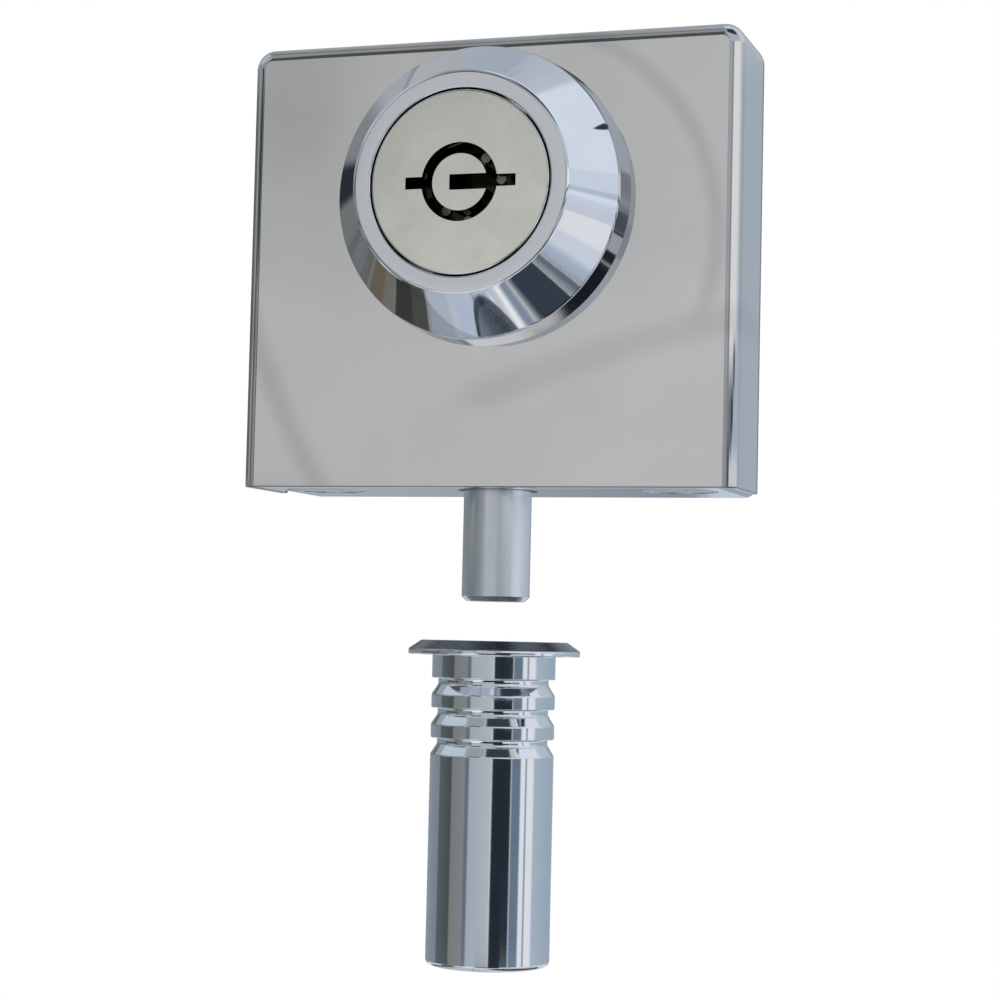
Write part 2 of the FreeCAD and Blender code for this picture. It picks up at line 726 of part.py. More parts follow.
# Driver sleeve: stays still in the housing and holds the driver pins and their springs.
sleeve = new_body("sleeve")
sleeve_sketch = sketch_on(sleeve, "XY_Plane", "sleeve_outline")
outline(sleeve_sketch, [
    ("shaft_radius + running_gap", "sleeve_front"), ("chamber_radius - running_gap", "sleeve_front"),
    ("chamber_radius - running_gap", "sleeve_back"), ("shaft_radius + running_gap", "sleeve_back")])
turn(sleeve, sleeve_sketch)
cross_hole = sketch_on(sleeve, "XY_Plane", "cross_hole", "0", "lock_pin_place", "housing_radius")
pocket(
    sleeve, circle(cross_hole, "lock_pin_radius + pin_gap"), "housing_radius - lock_pin_foot")
driver_chamber = facing(sleeve, "driver_chamber", "sleeve_front")
pocket(
    sleeve, circle(driver_chamber, "pin_radius + pin_gap", "pin_circle * sin(180 / pin_count)",
                   "pin_circle * cos(180 / pin_count)"), "chamber_length")
driver_chambers = sleeve.newObject("PartDesign::PolarPattern", "driver_chambers")
driver_chambers.Originals = [document.getObject("driver_chamber_cut")]
driver_chambers.Axis = (driver_chamber, ["N_Axis"])
driver_chambers.Angle = 360
driver_chambers.setExpression("Occurrences", bound("pin_count"))
sleeve.Tip = driver_chambers
document.recompute()
keep(sleeve, "driver_sleeve")

# Driver pins and their springs: seven of each, in the sleeve's blind chambers. The springs are
# drawn as the thin tubes that their close coils fill.
driver_lengths = ["driver_length"] * len(pin_places)
keep(ring_of_pins("driver", "sleeve_front", driver_lengths), "driver_pins")
pin_spring_lengths = ["chamber_length - driver_length"] * len(pin_places)
pin_springs = ring_of_pins(
    "pin_spring", "sleeve_front + driver_length", pin_spring_lengths, bore="pin_spring_bore")
keep(pin_springs, "pin_springs")

# Retaining pin: a short cross pin through the housing's wall into the sleeve.
cross_pin = new_body("cross_pin")
cross_sketch = sketch_on(
    cross_pin, "XY_Plane", "cross_pin_outline", "0", "lock_pin_place", "housing_radius - seat_gap")
pad(
    cross_pin, circle(cross_sketch, "lock_pin_radius"), "housing_radius - lock_pin_foot - 2 * seat_gap",
    against=True)
keep(cross_pin, "retaining_pin")

# Pinion: involute teeth. A tooth points along +X at rest, into a gap of the rack.
module = number("gear_module")
pitch_radius = number("pitch_radius")
pressure = math.radians(number("pressure_angle"))
base_radius = pitch_radius * math.cos(pressure)
tip_radius = pitch_radius + module
root_radius = pitch_radius - module - number("tooth_clearance")
half_tooth = (number("tooth_pitch") - number("tooth_backlash")) / 4 / pitch_radius
teeth = int(number("pinion_teeth"))


def involute(angle):
    """The involute function of a pressure angle."""
    return math.tan(angle) - angle


def flank(radius, tooth, side):
    """A point of one tooth's flank, on its upper (1) or lower (-1) side."""
    reach = math.acos(min(1.0, base_radius / radius))
    turned = half_tooth + involute(pressure) - involute(reach)
    angle = 2 * math.pi * tooth / teeth + side * turned
    return Vector(radius * math.cos(angle), number("gear_front"), radius * math.sin(angle))


middle_radius = (base_radius + tip_radius) / 2
base_turn = half_tooth + involute(pressure)
gear_edges = []
for tooth in range(teeth):
    foot = flank(base_radius, tooth, -1)
    tip = flank(tip_radius, tooth, -1)
    far_tip = flank(tip_radius, tooth, 1)
    far_foot = flank(base_radius, tooth, 1)
    next_foot = flank(base_radius, tooth + 1, -1)
    root = foot * (root_radius / base_radius)
    root.y = foot.y
    far_root = far_foot * (root_radius / base_radius)
    far_root.y = foot.y
    next_root = next_foot * (root_radius / base_radius)
    next_root.y = foot.y
    gear_edges += [
        Part.LineSegment(root, foot).toShape(),
        Part.Arc(foot, flank(middle_radius, tooth, -1), tip).toShape(),
        Part.LineSegment(tip, far_tip).toShape(),
        Part.Arc(far_tip, flank(middle_radius, tooth, 1), far_foot).toShape(),
        Part.LineSegment(far_foot, far_root).toShape(),
        Part.LineSegment(far_root, next_root).toShape()]
gear_face = Part.Face(Part.Wire(gear_edges))
gear_solid = gear_face.extrude(Vector(0, number("gear_width"), 0))
half_square = number("tail_square / 2 + running_gap")
square_hole = Part.makeBox(
    2 * half_square, number("gear_width"), 2 * half_square,
    Vector(-half_square, number("gear_front"), -half_square))
pinion = document.addObject("Part::Feature", "pinion_gear")
pinion.Shape = gear_solid.cut(square_hole)
keep(pinion, "pinion")

# Pinion washer and screw: hold the pinion on the spindle's tail.
washer = new_body("washer")
washer_sketch = circle(facing(washer, "washer_outline", "gear_back"), "washer_radius")
circle(washer_sketch, "gear_screw_radius + seat_gap")
pad(washer, washer_sketch, "washer_thick", against=True)
keep(washer, "pinion_washer")
gear_screw = new_body("gear_screw")
gear_head = circle(facing(gear_screw, "gear_screw_head", "gear_back + washer_thick"), "gear_screw_head")
pad(gear_screw, gear_head, "gear_screw_head_thick", against=True)
gear_shank = circle(facing(gear_screw, "gear_screw_shank", "gear_back + washer_thick"), "gear_screw_radius")
pad(gear_screw, gear_shank, "gear_screw_length")
gear_slot = facing(gear_screw, "gear_screw_slot", "gear_screw_face")
slot_across(gear_slot, "gear_screw_head", "small_slot_wide")
pocket(gear_screw, gear_slot, "small_slot_deep", along=True)
keep(gear_screw, "pinion_screw")

# Bolt rod: ground steel bar with a bevelled end, and a flat at its top that the rack's lug seats on.
rod = new_body("rod")
rod_sketch = facing(rod, "rod_outline", "bolt_plane")
outline(rod_sketch, [
    ("0", "bolt_end"), ("bolt_radius - bolt_chamfer", "bolt_end"),
    ("bolt_radius", "bolt_end + bolt_chamfer"), ("bolt_radius", "rod_top"), ("0", "rod_top")])
turn(rod, rod_sketch)
flat = facing(rod, "rod_flat", "flat_plane + bolt_flat")
rectangle(flat, "-(bolt_radius + overrun)", "bolt_radius + overrun", "rod_lug_bottom", "rod_top + overrun")
pocket(rod, flat, "bolt_flat", along=True)
rod_hole = facing(rod, "rod_screw_hole", "flat_plane", "0", "rod_screw_height")
pocket(rod, circle(rod_hole, "rod_screw_radius + running_gap"), "rod_screw_length", along=True)
keep(rod, "bolt_rod")

# Bolt rack: the toothed bar beside the pinion, and the lug that reaches forward to the rod.
rack = new_body("rack")
rack_sketch = facing(rack, "rack_outline", "gear_front")
outline(rack_sketch, [
    ("-lug_left", "rod_lug_bottom"), ("rack_back", "rod_lug_bottom"), ("rack_back", "rack_top"),
    ("rack_tips", "rack_top"), ("rack_tips", "rod_lug_top"), ("-lug_left", "rod_lug_top")])
pad(rack, rack_sketch, "gear_width", against=True)
rod_lug = facing(rack, "rod_lug", "gear_front")
rectangle(rod_lug, "-lug_left", "lug_left", "rod_lug_bottom", "rod_lug_top")
pad(rack, rod_lug, "gear_front - flat_plane")
lug_bore = facing(rack, "lug_bore", "gear_back", "0", "rod_screw_height")
pocket(rack, circle(lug_bore, "rod_screw_radius + seat_gap"), "gear_back - flat_plane", along=True)
lug_sink = facing(rack, "lug_sink", "gear_back", "0", "rod_screw_height")
pocket(rack, circle(lug_sink, "rod_screw_head + seat_gap"), "rod_screw_head_thick", along=True)
tooth_gap = facing(rack, "tooth_gap", "gear_front")
outline(tooth_gap, [
    ("rack_tips", "tooth_pitch - gap_at_tips / 2"), ("rack_tips", "tooth_pitch + gap_at_tips / 2"),
    ("rack_roots", "tooth_pitch + gap_at_roots / 2"), ("rack_roots", "tooth_pitch - gap_at_roots / 2")])
pocket(rack, tooth_gap, "gear_width")
tooth_gaps = rack.newObject("PartDesign::LinearPattern", "tooth_gaps")
tooth_gaps.Originals = [document.getObject("tooth_gap_cut")]
tooth_gaps.Direction = (tooth_gap, ["V_Axis"])
tooth_gaps.Reversed = True
tooth_gaps.setExpression("Length", bound("tooth_pitch * (pinion_teeth / 2 + 2)"))
tooth_gaps.setExpression("Occurrences", bound("pinion_teeth / 2 + 3"))
rack.Tip = tooth_gaps
document.recompute()
keep(rack, "bolt_rack")

# Rod screw: cap screw through the lug into the rod.
rod_screw = new_body("rod_screw_body")
cap_head = facing(rod_screw, "rod_screw_cap", "rod_screw_seat", "0", "rod_screw_height")
pad(rod_screw, circle(cap_head, "rod_screw_head"), "rod_screw_head_thick - slide_gap", against=True)
cap_shank = facing(rod_screw, "rod_screw_shank", "rod_screw_seat", "0", "rod_screw_height")
pad(
    rod_screw, circle(cap_shank, "rod_screw_radius"),
    "rod_screw_seat - flat_plane + rod_screw_length - slide_gap")
cap_socket = facing(rod_screw, "cap_socket", "gear_back - slide_gap", "0", "rod_screw_height")
pocket(rod_screw, hexagon(cap_socket, "rod_screw_socket"), "rod_screw_socket_deep", along=True)
keep(rod_screw, "rod_screw")

# Guide bush: black nylon ring that lines the bolt's hole in the case's floor.
bush = new_body("bush")
bush_sketch = facing(bush, "bush_outline", "bolt_plane")
outline(bush_sketch, [
    ("bush_bore", "cover_bottom + seat_gap"), ("bush_radius", "cover_bottom + seat_gap"),
    ("bush_radius", "floor_top"), ("bush_bore", "floor_top")])
turn(bush, bush_sketch)
keep(bush, "guide_bush")


def gasket(name, start, half_width, low, high, corner):
    """A flat rubber sheet with rounded corners and a hole for each clamp sleeve."""
    body = new_body(name + "_body")
    sheet_outline = facing(body, name + "_outline", start)
    rectangle(sheet_outline, "-(" + half_width + ")", half_width, low, high)
    block = pad(body, sheet_outline, "gasket_thick", against=True)
    soften(body, block, lambda edge: runs_along(edge, "y"), corner)
    holes = facing(body, name + "_holes", start)
    for sign in ("-", ""):
        circle(holes, "sleeve_radius + slide_gap", sign + "clamp_half", "-rear_drop")
    pocket(body, holes, "gasket_thick")
    keep(body, name)


# Front and rear gaskets: the front one's back face lies on the glass, at the origin.
gasket(
    "front_gasket", "case_back", "case_half - gasket_inset", "cover_bottom + gasket_inset",
    "case_top - gasket_inset", "case_corner_radius - gasket_inset")
gasket(
    "rear_gasket", "glass_thick", "rear_width / 2 - gasket_inset", "rear_bottom + gasket_inset",
    "rear_top - gasket_inset", "rear_corner - gasket_inset")

# Rear plate: the far side of the clamp, a little smaller than the case.
rear = new_body("rear")
rear_sketch = facing(rear, "rear_outline", "rear_front")
rectangle(rear_sketch, "-rear_width / 2", "rear_width / 2", "rear_bottom", "rear_top")
rear_block = pad(rear, rear_sketch, "rear_thick", against=True)
rear_corners = soften(rear, rear_block, lambda edge: runs_along(edge, "y"), "rear_corner")
rear_edges = soften(rear, rear_corners, lambda edge: lies_at(edge, "y", "rear_back"), "rear_edge")
for side, sign in (("left", "-"), ("right", "")):
    middle = sign + "clamp_half"
    sink_outline = sketch_on(rear, "XY_Plane", side + "_sink", middle, "0", "-rear_drop")
    outline(sink_outline, [
        ("0", "rear_front"), ("clamp_radius + slide_gap", "rear_front"),
        ("clamp_radius + slide_gap", "rear_back - clamp_head + clamp_radius"),
        ("clamp_head + slide_gap", "rear_back"), ("0", "rear_back")])
    before = rear.Shape.Volume
    sink = rear.newObject("PartDesign::Groove", side + "_sink_turned")
    sink.Profile = sink_outline
    sink.ReferenceAxis = (sink_outline, ["V_Axis"])
    sink.Angle = 360
    document.recompute()
    if rear.Shape.Volume >= before:
        raise ValueError("the sink in the rear plate cuts nothing")
keep(rear, "rear_plate")

# Clamp screws: countersunk screws from the rear plate, through the glass, into the case.
clamp = new_body("clamp_screw")
clamp_sketch = sketch_on(clamp, "XY_Plane", "clamp_outline", "clamp_half", "0", "-rear_drop")
outline(clamp_sketch, [
    ("0", "case_back - clamp_grip"), ("clamp_radius", "case_back - clamp_grip"),
    ("clamp_radius", "rear_back - seat_gap - clamp_head + clamp_radius"),
    ("clamp_head", "rear_back - seat_gap"), ("0", "rear_back - seat_gap")])
turn(clamp, clamp_sketch)
socket = facing(clamp, "clamp_socket", "rear_back - seat_gap", "clamp_half", "-rear_drop")
pocket(clamp, hexagon(socket, "clamp_socket"), "clamp_socket_deep", along=True)
left_and_right(clamp, "clamp_screws")

# Clamp sleeves: plastic tubes from the case to the rear plate that keep the screws off the glass.
glass_sleeve = new_body("glass_sleeve")
glass_sleeve_sketch = facing(
    glass_sleeve, "glass_sleeve_outline", "case_back + seat_gap", "clamp_half", "-rear_drop")
circle(glass_sleeve_sketch, "sleeve_radius")
circle(glass_sleeve_sketch, "clamp_radius + slide_gap")
pad(glass_sleeve, glass_sleeve_sketch, "rear_front - case_back - 2 * seat_gap", against=True)
left_and_right(glass_sleeve, "clamp_sleeves")

# Strike shell: a turned socket. The bevelled flange sits on the floor, and three barbs hold the
# barrel in its hole: each groove steps in square, runs level and slopes back out.
shell = new_body("shell")
shell_sketch = facing(shell, "shell_outline", "bolt_plane")
shell_corners = [
    ("mouth_radius", "strike_top"), ("flange_flat", "strike_top"),
    ("flange_radius", "strike_top - flange_bevel"),
    ("flange_radius", "strike_top - flange_bevel - flange_rim"),
    ("strike_radius", "strike_top - flange_bevel - flange_rim")]
for barb in range(int(number("groove_count"))):
    step = "strike_top - groove_start - %d * groove_pitch" % barb
    shell_corners += [
        ("strike_radius", step), ("strike_radius - groove_deep", step),
        ("strike_radius - groove_deep", step + " - groove_floor"),
        ("strike_radius", step + " - groove_floor - groove_slope")]
shell_corners += [
    ("strike_radius", "strike_foot"), ("bore_radius", "strike_foot"),
    ("bore_radius", "strike_top - mouth_length"), ("mouth_radius", "strike_top - mouth_length")]
outline(shell_sketch, shell_corners)
shell_turned = turn(shell, shell_sketch)
soften(shell, shell_turned, lambda edge: is_hoop(edge, "strike_radius", "strike_foot"), "foot_radius")
keep(shell, "strike_shell")

# Strike plunger: closes the mouth flush with the flange. Its skirt stops under the mouth, and the
# spring pushes up on the skirt, round the spigot.
plunger = new_body("plunger")
plunger_sketch = facing(plunger, "plunger_outline", "bolt_plane")
outline(plunger_sketch, [
    ("0", "strike_top"), ("plunger_radius", "strike_top"), ("plunger_radius", "skirt_top"),
    ("skirt_radius", "skirt_top"), ("skirt_radius", "skirt_bottom"),
    ("plunger_spigot", "skirt_bottom"), ("plunger_spigot", "plunger_foot"), ("0", "plunger_foot")])
plunger_turned = turn(plunger, plunger_sketch)
soften(
    plunger, plunger_turned, lambda edge: is_hoop(edge, "plunger_radius", "strike_top"),
    "plunger_softening", "Chamfer")
keep(plunger, "strike_plunger")

# Strike cap: plug that closes the barrel's foot. Its spigot centres the spring and stops the plunger.
cap = new_body("cap")
cap_sketch = facing(cap, "cap_outline", "bolt_plane")
outline(cap_sketch, [
    ("0", "strike_foot + seat_gap"), ("bore_radius - running_gap", "strike_foot + seat_gap"),
    ("bore_radius - running_gap", "cap_top"), ("plunger_spigot", "cap_top"),
    ("plunger_spigot", "plunger_foot - plunger_stroke - slide_gap"),
    ("0", "plunger_foot - plunger_stroke - slide_gap")])
turn(cap, cap_sketch)
keep(cap, "strike_cap")

# Strike spring: one helix of wire between the cap and the plunger's skirt. The wire is round; its
# section is drawn with six sides to keep the hidden spring light.
spring_low = number("cap_top + spring_wire / 2 + seat_gap")
spring_high = number("skirt_bottom - spring_wire / 2 - seat_gap")
turns = int(number("spring_turns"))
rise = (spring_high - spring_low) / turns
coil = number("spring_radius")
axis_y = number("bolt_plane")


def on_coil(turned):
    """A point of the spring's centre line after so many turns."""
    angle = 2 * math.pi * turned
    return Vector(coil * math.cos(angle), axis_y + coil * math.sin(angle), spring_low + rise * turned)


def along_coil(turned):
    """The centre line's direction after so many turns."""
    angle = 2 * math.pi * turned
    return Vector(
        -2 * math.pi * coil * math.sin(angle), 2 * math.pi * coil * math.cos(angle), rise).normalize()


def arc_between(start, corner, finish):
    """The arc that leaves start and reaches finish in the directions of the corner between them."""
    chord_middle = (start + finish) / 2
    half_turn_cosine = (finish - start).Length / (2 * (corner - start).Length)
    bulge = half_turn_cosine / (1 + half_turn_cosine)
    return Part.Arc(start, chord_middle + (corner - chord_middle) * bulge, finish).toShape()


# Each half turn is two arcs that share a tangent where they meet.
spring_path = []
for half in range(2 * turns):
    start = on_coil(half / 2)
    finish = on_coil((half + 1) / 2)
    leaving = along_coil(half / 2)
    arriving = along_coil((half + 1) / 2)
    across = finish - start
    both = leaving + arriving
    spread = 4 - both.dot(both)
    slant = across.dot(both)
    reach = (math.sqrt(slant * slant + spread * across.dot(across)) - slant) / spread
    first_corner = start + leaving * reach
    second_corner = finish - arriving * reach
    meeting = (first_corner + second_corner) / 2
    spring_path += [arc_between(start, first_corner, meeting), arc_between(meeting, second_corner, finish)]
spring_start = on_coil(0)
spring_heading = along_coil(0)
wire_sides = 6
wire_corners = []
for corner in range(wire_sides + 1):
    spoke = FreeCAD.Rotation(spring_heading, 360 * corner / wire_sides)
    wire_corners.append(spring_start + spoke.multVec(Vector(number("spring_wire / 2"), 0, 0)))
wire_profile = Part.makePolygon(wire_corners)
spring = document.addObject("Part::Feature", "coil_spring")
spring.Shape = Part.Wire(spring_path).makePipeShell([wire_profile], True, False)
keep(spring, "strike_spring")
print("strike spring: least gap between turns %.2f mm" % (rise - number("spring_wire")))

# Nothing is written unless every object is sound and every node is whole.
document.recompute()
for item in document.Objects:
    if "Invalid" in item.State or "Error" in item.State:
        raise ValueError(item.Name + " has failed")
for piece in nodes:
    if piece.Shape.isNull() or not piece.Shape.isValid() or not piece.Shape.Solids:
        raise ValueError(piece.Label + " has no sound shape")
os.makedirs("parts", exist_ok=True)
for piece in nodes:
    piece.Shape.exportStep("parts/" + piece.Label + ".step")
    print("%-18s %2d solids %10.2f mm3" % (piece.Label, len(piece.Shape.Solids), piece.Shape.Volume))
print("bolt travel %.3f mm over half a turn" % number("bolt_travel"))
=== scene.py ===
import bmesh
import bpy
import math
from mathutils import Matrix, Vector


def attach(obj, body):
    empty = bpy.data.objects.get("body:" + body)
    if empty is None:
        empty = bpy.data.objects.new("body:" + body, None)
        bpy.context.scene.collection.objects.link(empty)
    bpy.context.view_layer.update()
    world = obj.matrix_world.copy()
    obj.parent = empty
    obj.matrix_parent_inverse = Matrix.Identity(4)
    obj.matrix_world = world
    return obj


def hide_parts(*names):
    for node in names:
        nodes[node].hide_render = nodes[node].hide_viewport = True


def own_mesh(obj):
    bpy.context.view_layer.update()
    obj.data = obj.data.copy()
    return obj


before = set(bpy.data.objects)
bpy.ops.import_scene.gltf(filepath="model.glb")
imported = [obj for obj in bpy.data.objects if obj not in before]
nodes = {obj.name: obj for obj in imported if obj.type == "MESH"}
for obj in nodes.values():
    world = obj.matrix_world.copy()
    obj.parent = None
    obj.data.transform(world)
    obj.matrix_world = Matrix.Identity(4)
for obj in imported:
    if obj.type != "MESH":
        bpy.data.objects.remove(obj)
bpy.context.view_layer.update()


# Front cover. A pan drawn from 1.2 mm stainless sheet, open at the bottom and the back, its outside
# polished nearly to a mirror. It slides over the case from above, and the two screws in the bottom
# face pull it down by the lugs that are welded inside it.

mm = 0.001


def colour(code):
    """An sRGB hex colour as the linear values that a shader takes."""
    parts = [int(code[place:place + 2], 16) / 255 for place in (1, 3, 5)]
    return [part / 12.92 if part <= 0.04045 else ((part + 0.055) / 1.055) ** 2.4 for part in parts] + [1.0]


def add(finish, kind, inputs, **settings):
    """Adds a node to a finish. An input is a value, or the output of another node."""
    node = finish.node_tree.nodes.new("ShaderNode" + kind)
    for name, value in settings.items():
        setattr(node, name, value)
    for name, value in inputs.items():
        if isinstance(value, bpy.types.NodeSocket):
            finish.node_tree.links.new(value, node.inputs[name])
        else:
            node.inputs[name].default_value = value
    return node


def new_finish(name):
    """An empty material and its surface coordinates."""
    finish = bpy.data.materials.new(name)
    finish.use_nodes = True
    finish.node_tree.nodes.clear()
    return finish, add(finish, "TexCoord", {}).outputs["Object"]


def surface(finish, shader):
    """Sends a shader to a finish's output."""
    add(finish, "OutputMaterial", {"Surface": shader.outputs[0]})


def soften_edges(shape, width, segments=2, where=None):
    """Bevels the sharp edges of a bmesh, or those of them that a test of their middle accepts."""
    sharp = []
    for edge in shape.edges:
        middle = (edge.verts[0].co + edge.verts[1].co) / 2
        if edge.is_manifold and edge.calc_face_angle() > math.radians(25):
            if where is None or where(middle / mm):
                sharp.append(edge)
    bmesh.ops.bevel(
        shape, geom=sharp, offset=width * mm, offset_type="OFFSET", segments=segments, profile=0.5,
        affect="EDGES", clamp_overlap=True, material=-1)


def block(low, high):
    """A bmesh box between two corners in millimetres."""
    shape = bmesh.new()
    low = Vector(low) * mm
    high = Vector(high) * mm
    place = Matrix.Translation((low + high) / 2) @ Matrix.Diagonal((*(high - low), 1))
    bmesh.ops.create_cube(shape, size=1, matrix=place)
    return shape


def drill(axis, radius, start, end):
    """A bmesh rod along Y or Z between two points in millimetres."""
    shape = bmesh.new()
    start = Vector(start) * mm
    end = Vector(end) * mm
    turn = Matrix.Rotation(math.radians(90), 4, "X") if axis == "Y" else Matrix.Identity(4)
    bmesh.ops.create_cone(
        shape, cap_ends=True, segments=96, radius1=radius * mm, radius2=radius * mm,
        depth=(end - start).length, matrix=Matrix.Translation((start + end) / 2) @ turn)
    return shape


def temporary(shape):
    """A bmesh as an object that only a cut needs."""
    mesh = bpy.data.meshes.new("cut_helper")
    shape.to_mesh(mesh)
    shape.free()
    helper = bpy.data.objects.new("cut_helper", mesh)
    bpy.context.scene.collection.objects.link(helper)
    return helper


def cut(shape, cutter):
    """A bmesh with another one cut out of it."""
    blank = temporary(shape)
    tool = temporary(cutter)
    difference = blank.modifiers.new("cut", "BOOLEAN")
    difference.operation = "DIFFERENCE"
    difference.solver = "EXACT"
    difference.object = tool
    bpy.context.view_layer.update()
    left = bmesh.new()
    left.from_object(blank, bpy.context.evaluated_depsgraph_get())
    for helper in (blank, tool):
        mesh = helper.data
        bpy.data.objects.remove(helper)
        bpy.data.meshes.remove(mesh)
    return left


def finished(shape, name, finish):
    """Makes a shown piece of a bmesh, smooth shaded, with flat faces kept flat and steep edges sharp."""
    for edge in shape.edges:
        if edge.is_manifold and edge.calc_face_angle() > math.radians(55):
            edge.smooth = False
    mesh = bpy.data.meshes.new(name)
    shape.to_mesh(mesh)
    shape.free()
    mesh.materials.append(finish)
    mesh.polygons.foreach_set("use_smooth", [True] * len(mesh.polygons))
    piece = bpy.data.objects.new(name, mesh)
    bpy.context.scene.collection.objects.link(piece)
    even = piece.modifiers.new("even_shading", "WEIGHTED_NORMAL")
    even.keep_sharp = True
    even.weight = 90
    return piece


# Polished stainless: a plain grey. Buffing leaves soft clouds in it some millimetres across. Three long
# curved streaks over the face are painted a little darker: painted reflection. Its scratches are much finer
# than the render can show. The trimmed edges at its back and bottom are painted dark: painted shade.
stainless, where = new_finish("polished_stainless_sheet")
clouds = add(stainless, "TexNoise", {
    "Vector": where, "Scale": 1 / (14 * mm), "Detail": 4.0, "Roughness": 0.55})
tint = add(stainless, "MixRGB", {
    "Fac": clouds.outputs["Fac"], "Color1": colour("#CACACA"), "Color2": colour("#DADADA")})
gloss = add(stainless, "MapRange", {
    "Value": clouds.outputs["Fac"], "From Min": 0.3, "From Max": 0.7, "To Min": 0.03, "To Max": 0.05})
upward = add(stainless, "VectorMath", {0: where, 1: (1, 0, 1)}, operation="DOT_PRODUCT")
# Painted reflection: three long curved streaks, painted darker into the colour.
for middle, radius, wide, shade, start in (
        ((3, -25, -6), 31.2, 2.2, 0.42, 8), ((73, -25, -216), 201, 4.0, 0.36, -38),
        ((77.5, -25, 20.8), 120.3, 3.0, 0.45, -90)):
    apart = add(stainless, "VectorMath", {0: where, 1: Vector(middle) * mm}, operation="DISTANCE")
    off = add(stainless, "Math", {0: apart.outputs["Value"], 1: radius * mm}, operation="SUBTRACT")
    off = add(stainless, "Math", {0: off.outputs[0]}, operation="ABSOLUTE")
    painted_streak = add(stainless, "MapRange", {
        "Value": off.outputs[0], "From Max": wide * mm, "To Min": shade, "To Max": 0.0},
        interpolation_type="SMOOTHSTEP")
    begun = add(stainless, "MapRange", {
        "Value": upward.outputs["Value"], "From Min": start * mm, "From Max": (start + 12) * mm},
        interpolation_type="SMOOTHSTEP")
    share = add(stainless, "Math", {
        0: painted_streak.outputs["Result"], 1: begun.outputs["Result"]}, operation="MULTIPLY")
    tint = add(stainless, "MixRGB", {
        "Fac": share.outputs[0], "Color1": tint.outputs["Color"], "Color2": colour("#AEAFB0")})
# Painted shade: the sheet's cut edges at the back and bottom are painted nearly black.
sides = add(stainless, "SeparateXYZ", {"Vector": where})
back_edge = add(stainless, "MapRange", {
    "Value": sides.outputs["Y"], "From Min": -11.3 * mm, "From Max": -10.6 * mm},
    interpolation_type="SMOOTHSTEP")
bottom_edge = add(stainless, "MapRange", {
    "Value": sides.outputs["Z"], "From Min": -41.85 * mm, "From Max": -41.95 * mm})
painted_edge_shade = add(stainless, "Math", {
    0: back_edge.outputs["Result"], 1: bottom_edge.outputs["Result"]}, operation="MAXIMUM")
tint = add(stainless, "MixRGB", {
    "Fac": painted_edge_shade.outputs[0], "Color1": tint.outputs["Color"], "Color2": colour("#33363A")})
buffing = add(stainless, "TexNoise", {"Vector": where, "Scale": 1 / (6 * mm), "Detail": 2.0})
relief = add(stainless, "Bump", {"Height": buffing.outputs["Fac"], "Strength": 0.03, "Distance": 0.05 * mm})
surface(stainless, add(stainless, "BsdfPrincipled", {
    "Base Color": tint.outputs["Color"], "Metallic": 1.0, "Roughness": gloss.outputs["Result"],
    "Normal": relief.outputs["Normal"]}))

cover_half = 37.5
cover_front = -25.0
cover_back = -10.0
cover_bottom = -42.0
cover_top = 24.0
cover_sheet = 1.2
cover_corner_radius = 3.0
cover_edge_radius = 2.0
cylinder_hole = 9.8
cover = block((-cover_half, cover_front, cover_bottom), (cover_half, cover_back, cover_top))
cover.normal_update()
open_sides = [face for face in cover.faces if face.normal.z < -0.5 or face.normal.y > 0.5]
bmesh.ops.delete(cover, geom=open_sides, context="FACES")
upper_corners = []
for edge in cover.edges:
    if abs(edge.verts[0].co.y - edge.verts[1].co.y) > mm and edge.verts[0].co.z > 0:
        upper_corners.append(edge)
bmesh.ops.bevel(
    cover, geom=upper_corners, offset=cover_corner_radius * mm, offset_type="OFFSET", segments=12,
    profile=0.5, affect="EDGES", material=-1)
cover.normal_update()
front_edges = []
for edge in cover.edges:
    facing = [face.normal.y < -0.9 for face in edge.link_faces]
    if len(facing) == 2 and facing.count(True) == 1:
        front_edges.append(edge)
bmesh.ops.bevel(
    cover, geom=front_edges, offset=cover_edge_radius * mm, offset_type="OFFSET", segments=10,
    profile=0.5, affect="EDGES", material=-1)
bmesh.ops.recalc_face_normals(cover, faces=cover.faces)
if sum(face.normal.y * face.calc_area() for face in cover.faces) > 0:
    bmesh.ops.reverse_faces(cover, faces=cover.faces)
bmesh.ops.solidify(cover, geom=cover.faces, thickness=cover_sheet * mm)
cover = cut(cover, drill("Y", cylinder_hole, (0, cover_front - 1, 0), (0, cover_front + 3, 0)))
soften_edges(cover, 0.18, 2)
pressed_cover = finished(cover, "pressed_cover", stainless)
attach(pressed_cover, "lock_body")
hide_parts("front_cover")


# Cover screws and lugs. The two slotted screws are turned from steel bar, with wide flat heads that
# fill their recesses, and bright zinc plated. The lugs are steel blocks, welded, tapped and plated too.

def turned(axis, outline, around=(0, 0, 0), steps=144):
    """Spins an outline round a line along Y or Z. Its points are (radius, place along the line) in mm."""
    shape = bmesh.new()
    centre = Vector(around) * mm
    line = Vector((0, 1, 0)) if axis == "Y" else Vector((0, 0, 1))
    corners = []
    for radius, along in outline:
        corners.append(shape.verts.new(centre + Vector((radius, 0, 0)) * mm + line * along * mm))
    edges = [shape.edges.new(pair) for pair in zip(corners, corners[1:])]
    if outline[0][0] > 0:
        edges.append(shape.edges.new((corners[-1], corners[0])))
    bmesh.ops.spin(
        shape, geom=corners + edges, cent=centre, axis=line, angle=math.radians(360), steps=steps,
        use_merge=True)
    bmesh.ops.remove_doubles(shape, verts=shape.verts, dist=0.0005 * mm)
    bmesh.ops.recalc_face_normals(shape, faces=shape.faces)
    return shape


def dress(name, finish):
    """Gives a CAD node its finish."""
    for place in nodes[name].material_slots:
        place.material = finish


def joined(shapes):
    """Several bmeshes as one."""
    whole = bmesh.new()
    for shape in shapes:
        mesh = bpy.data.meshes.new("joined_part")
        shape.to_mesh(mesh)
        shape.free()
        whole.from_mesh(mesh)
        bpy.data.meshes.remove(mesh)
    return whole


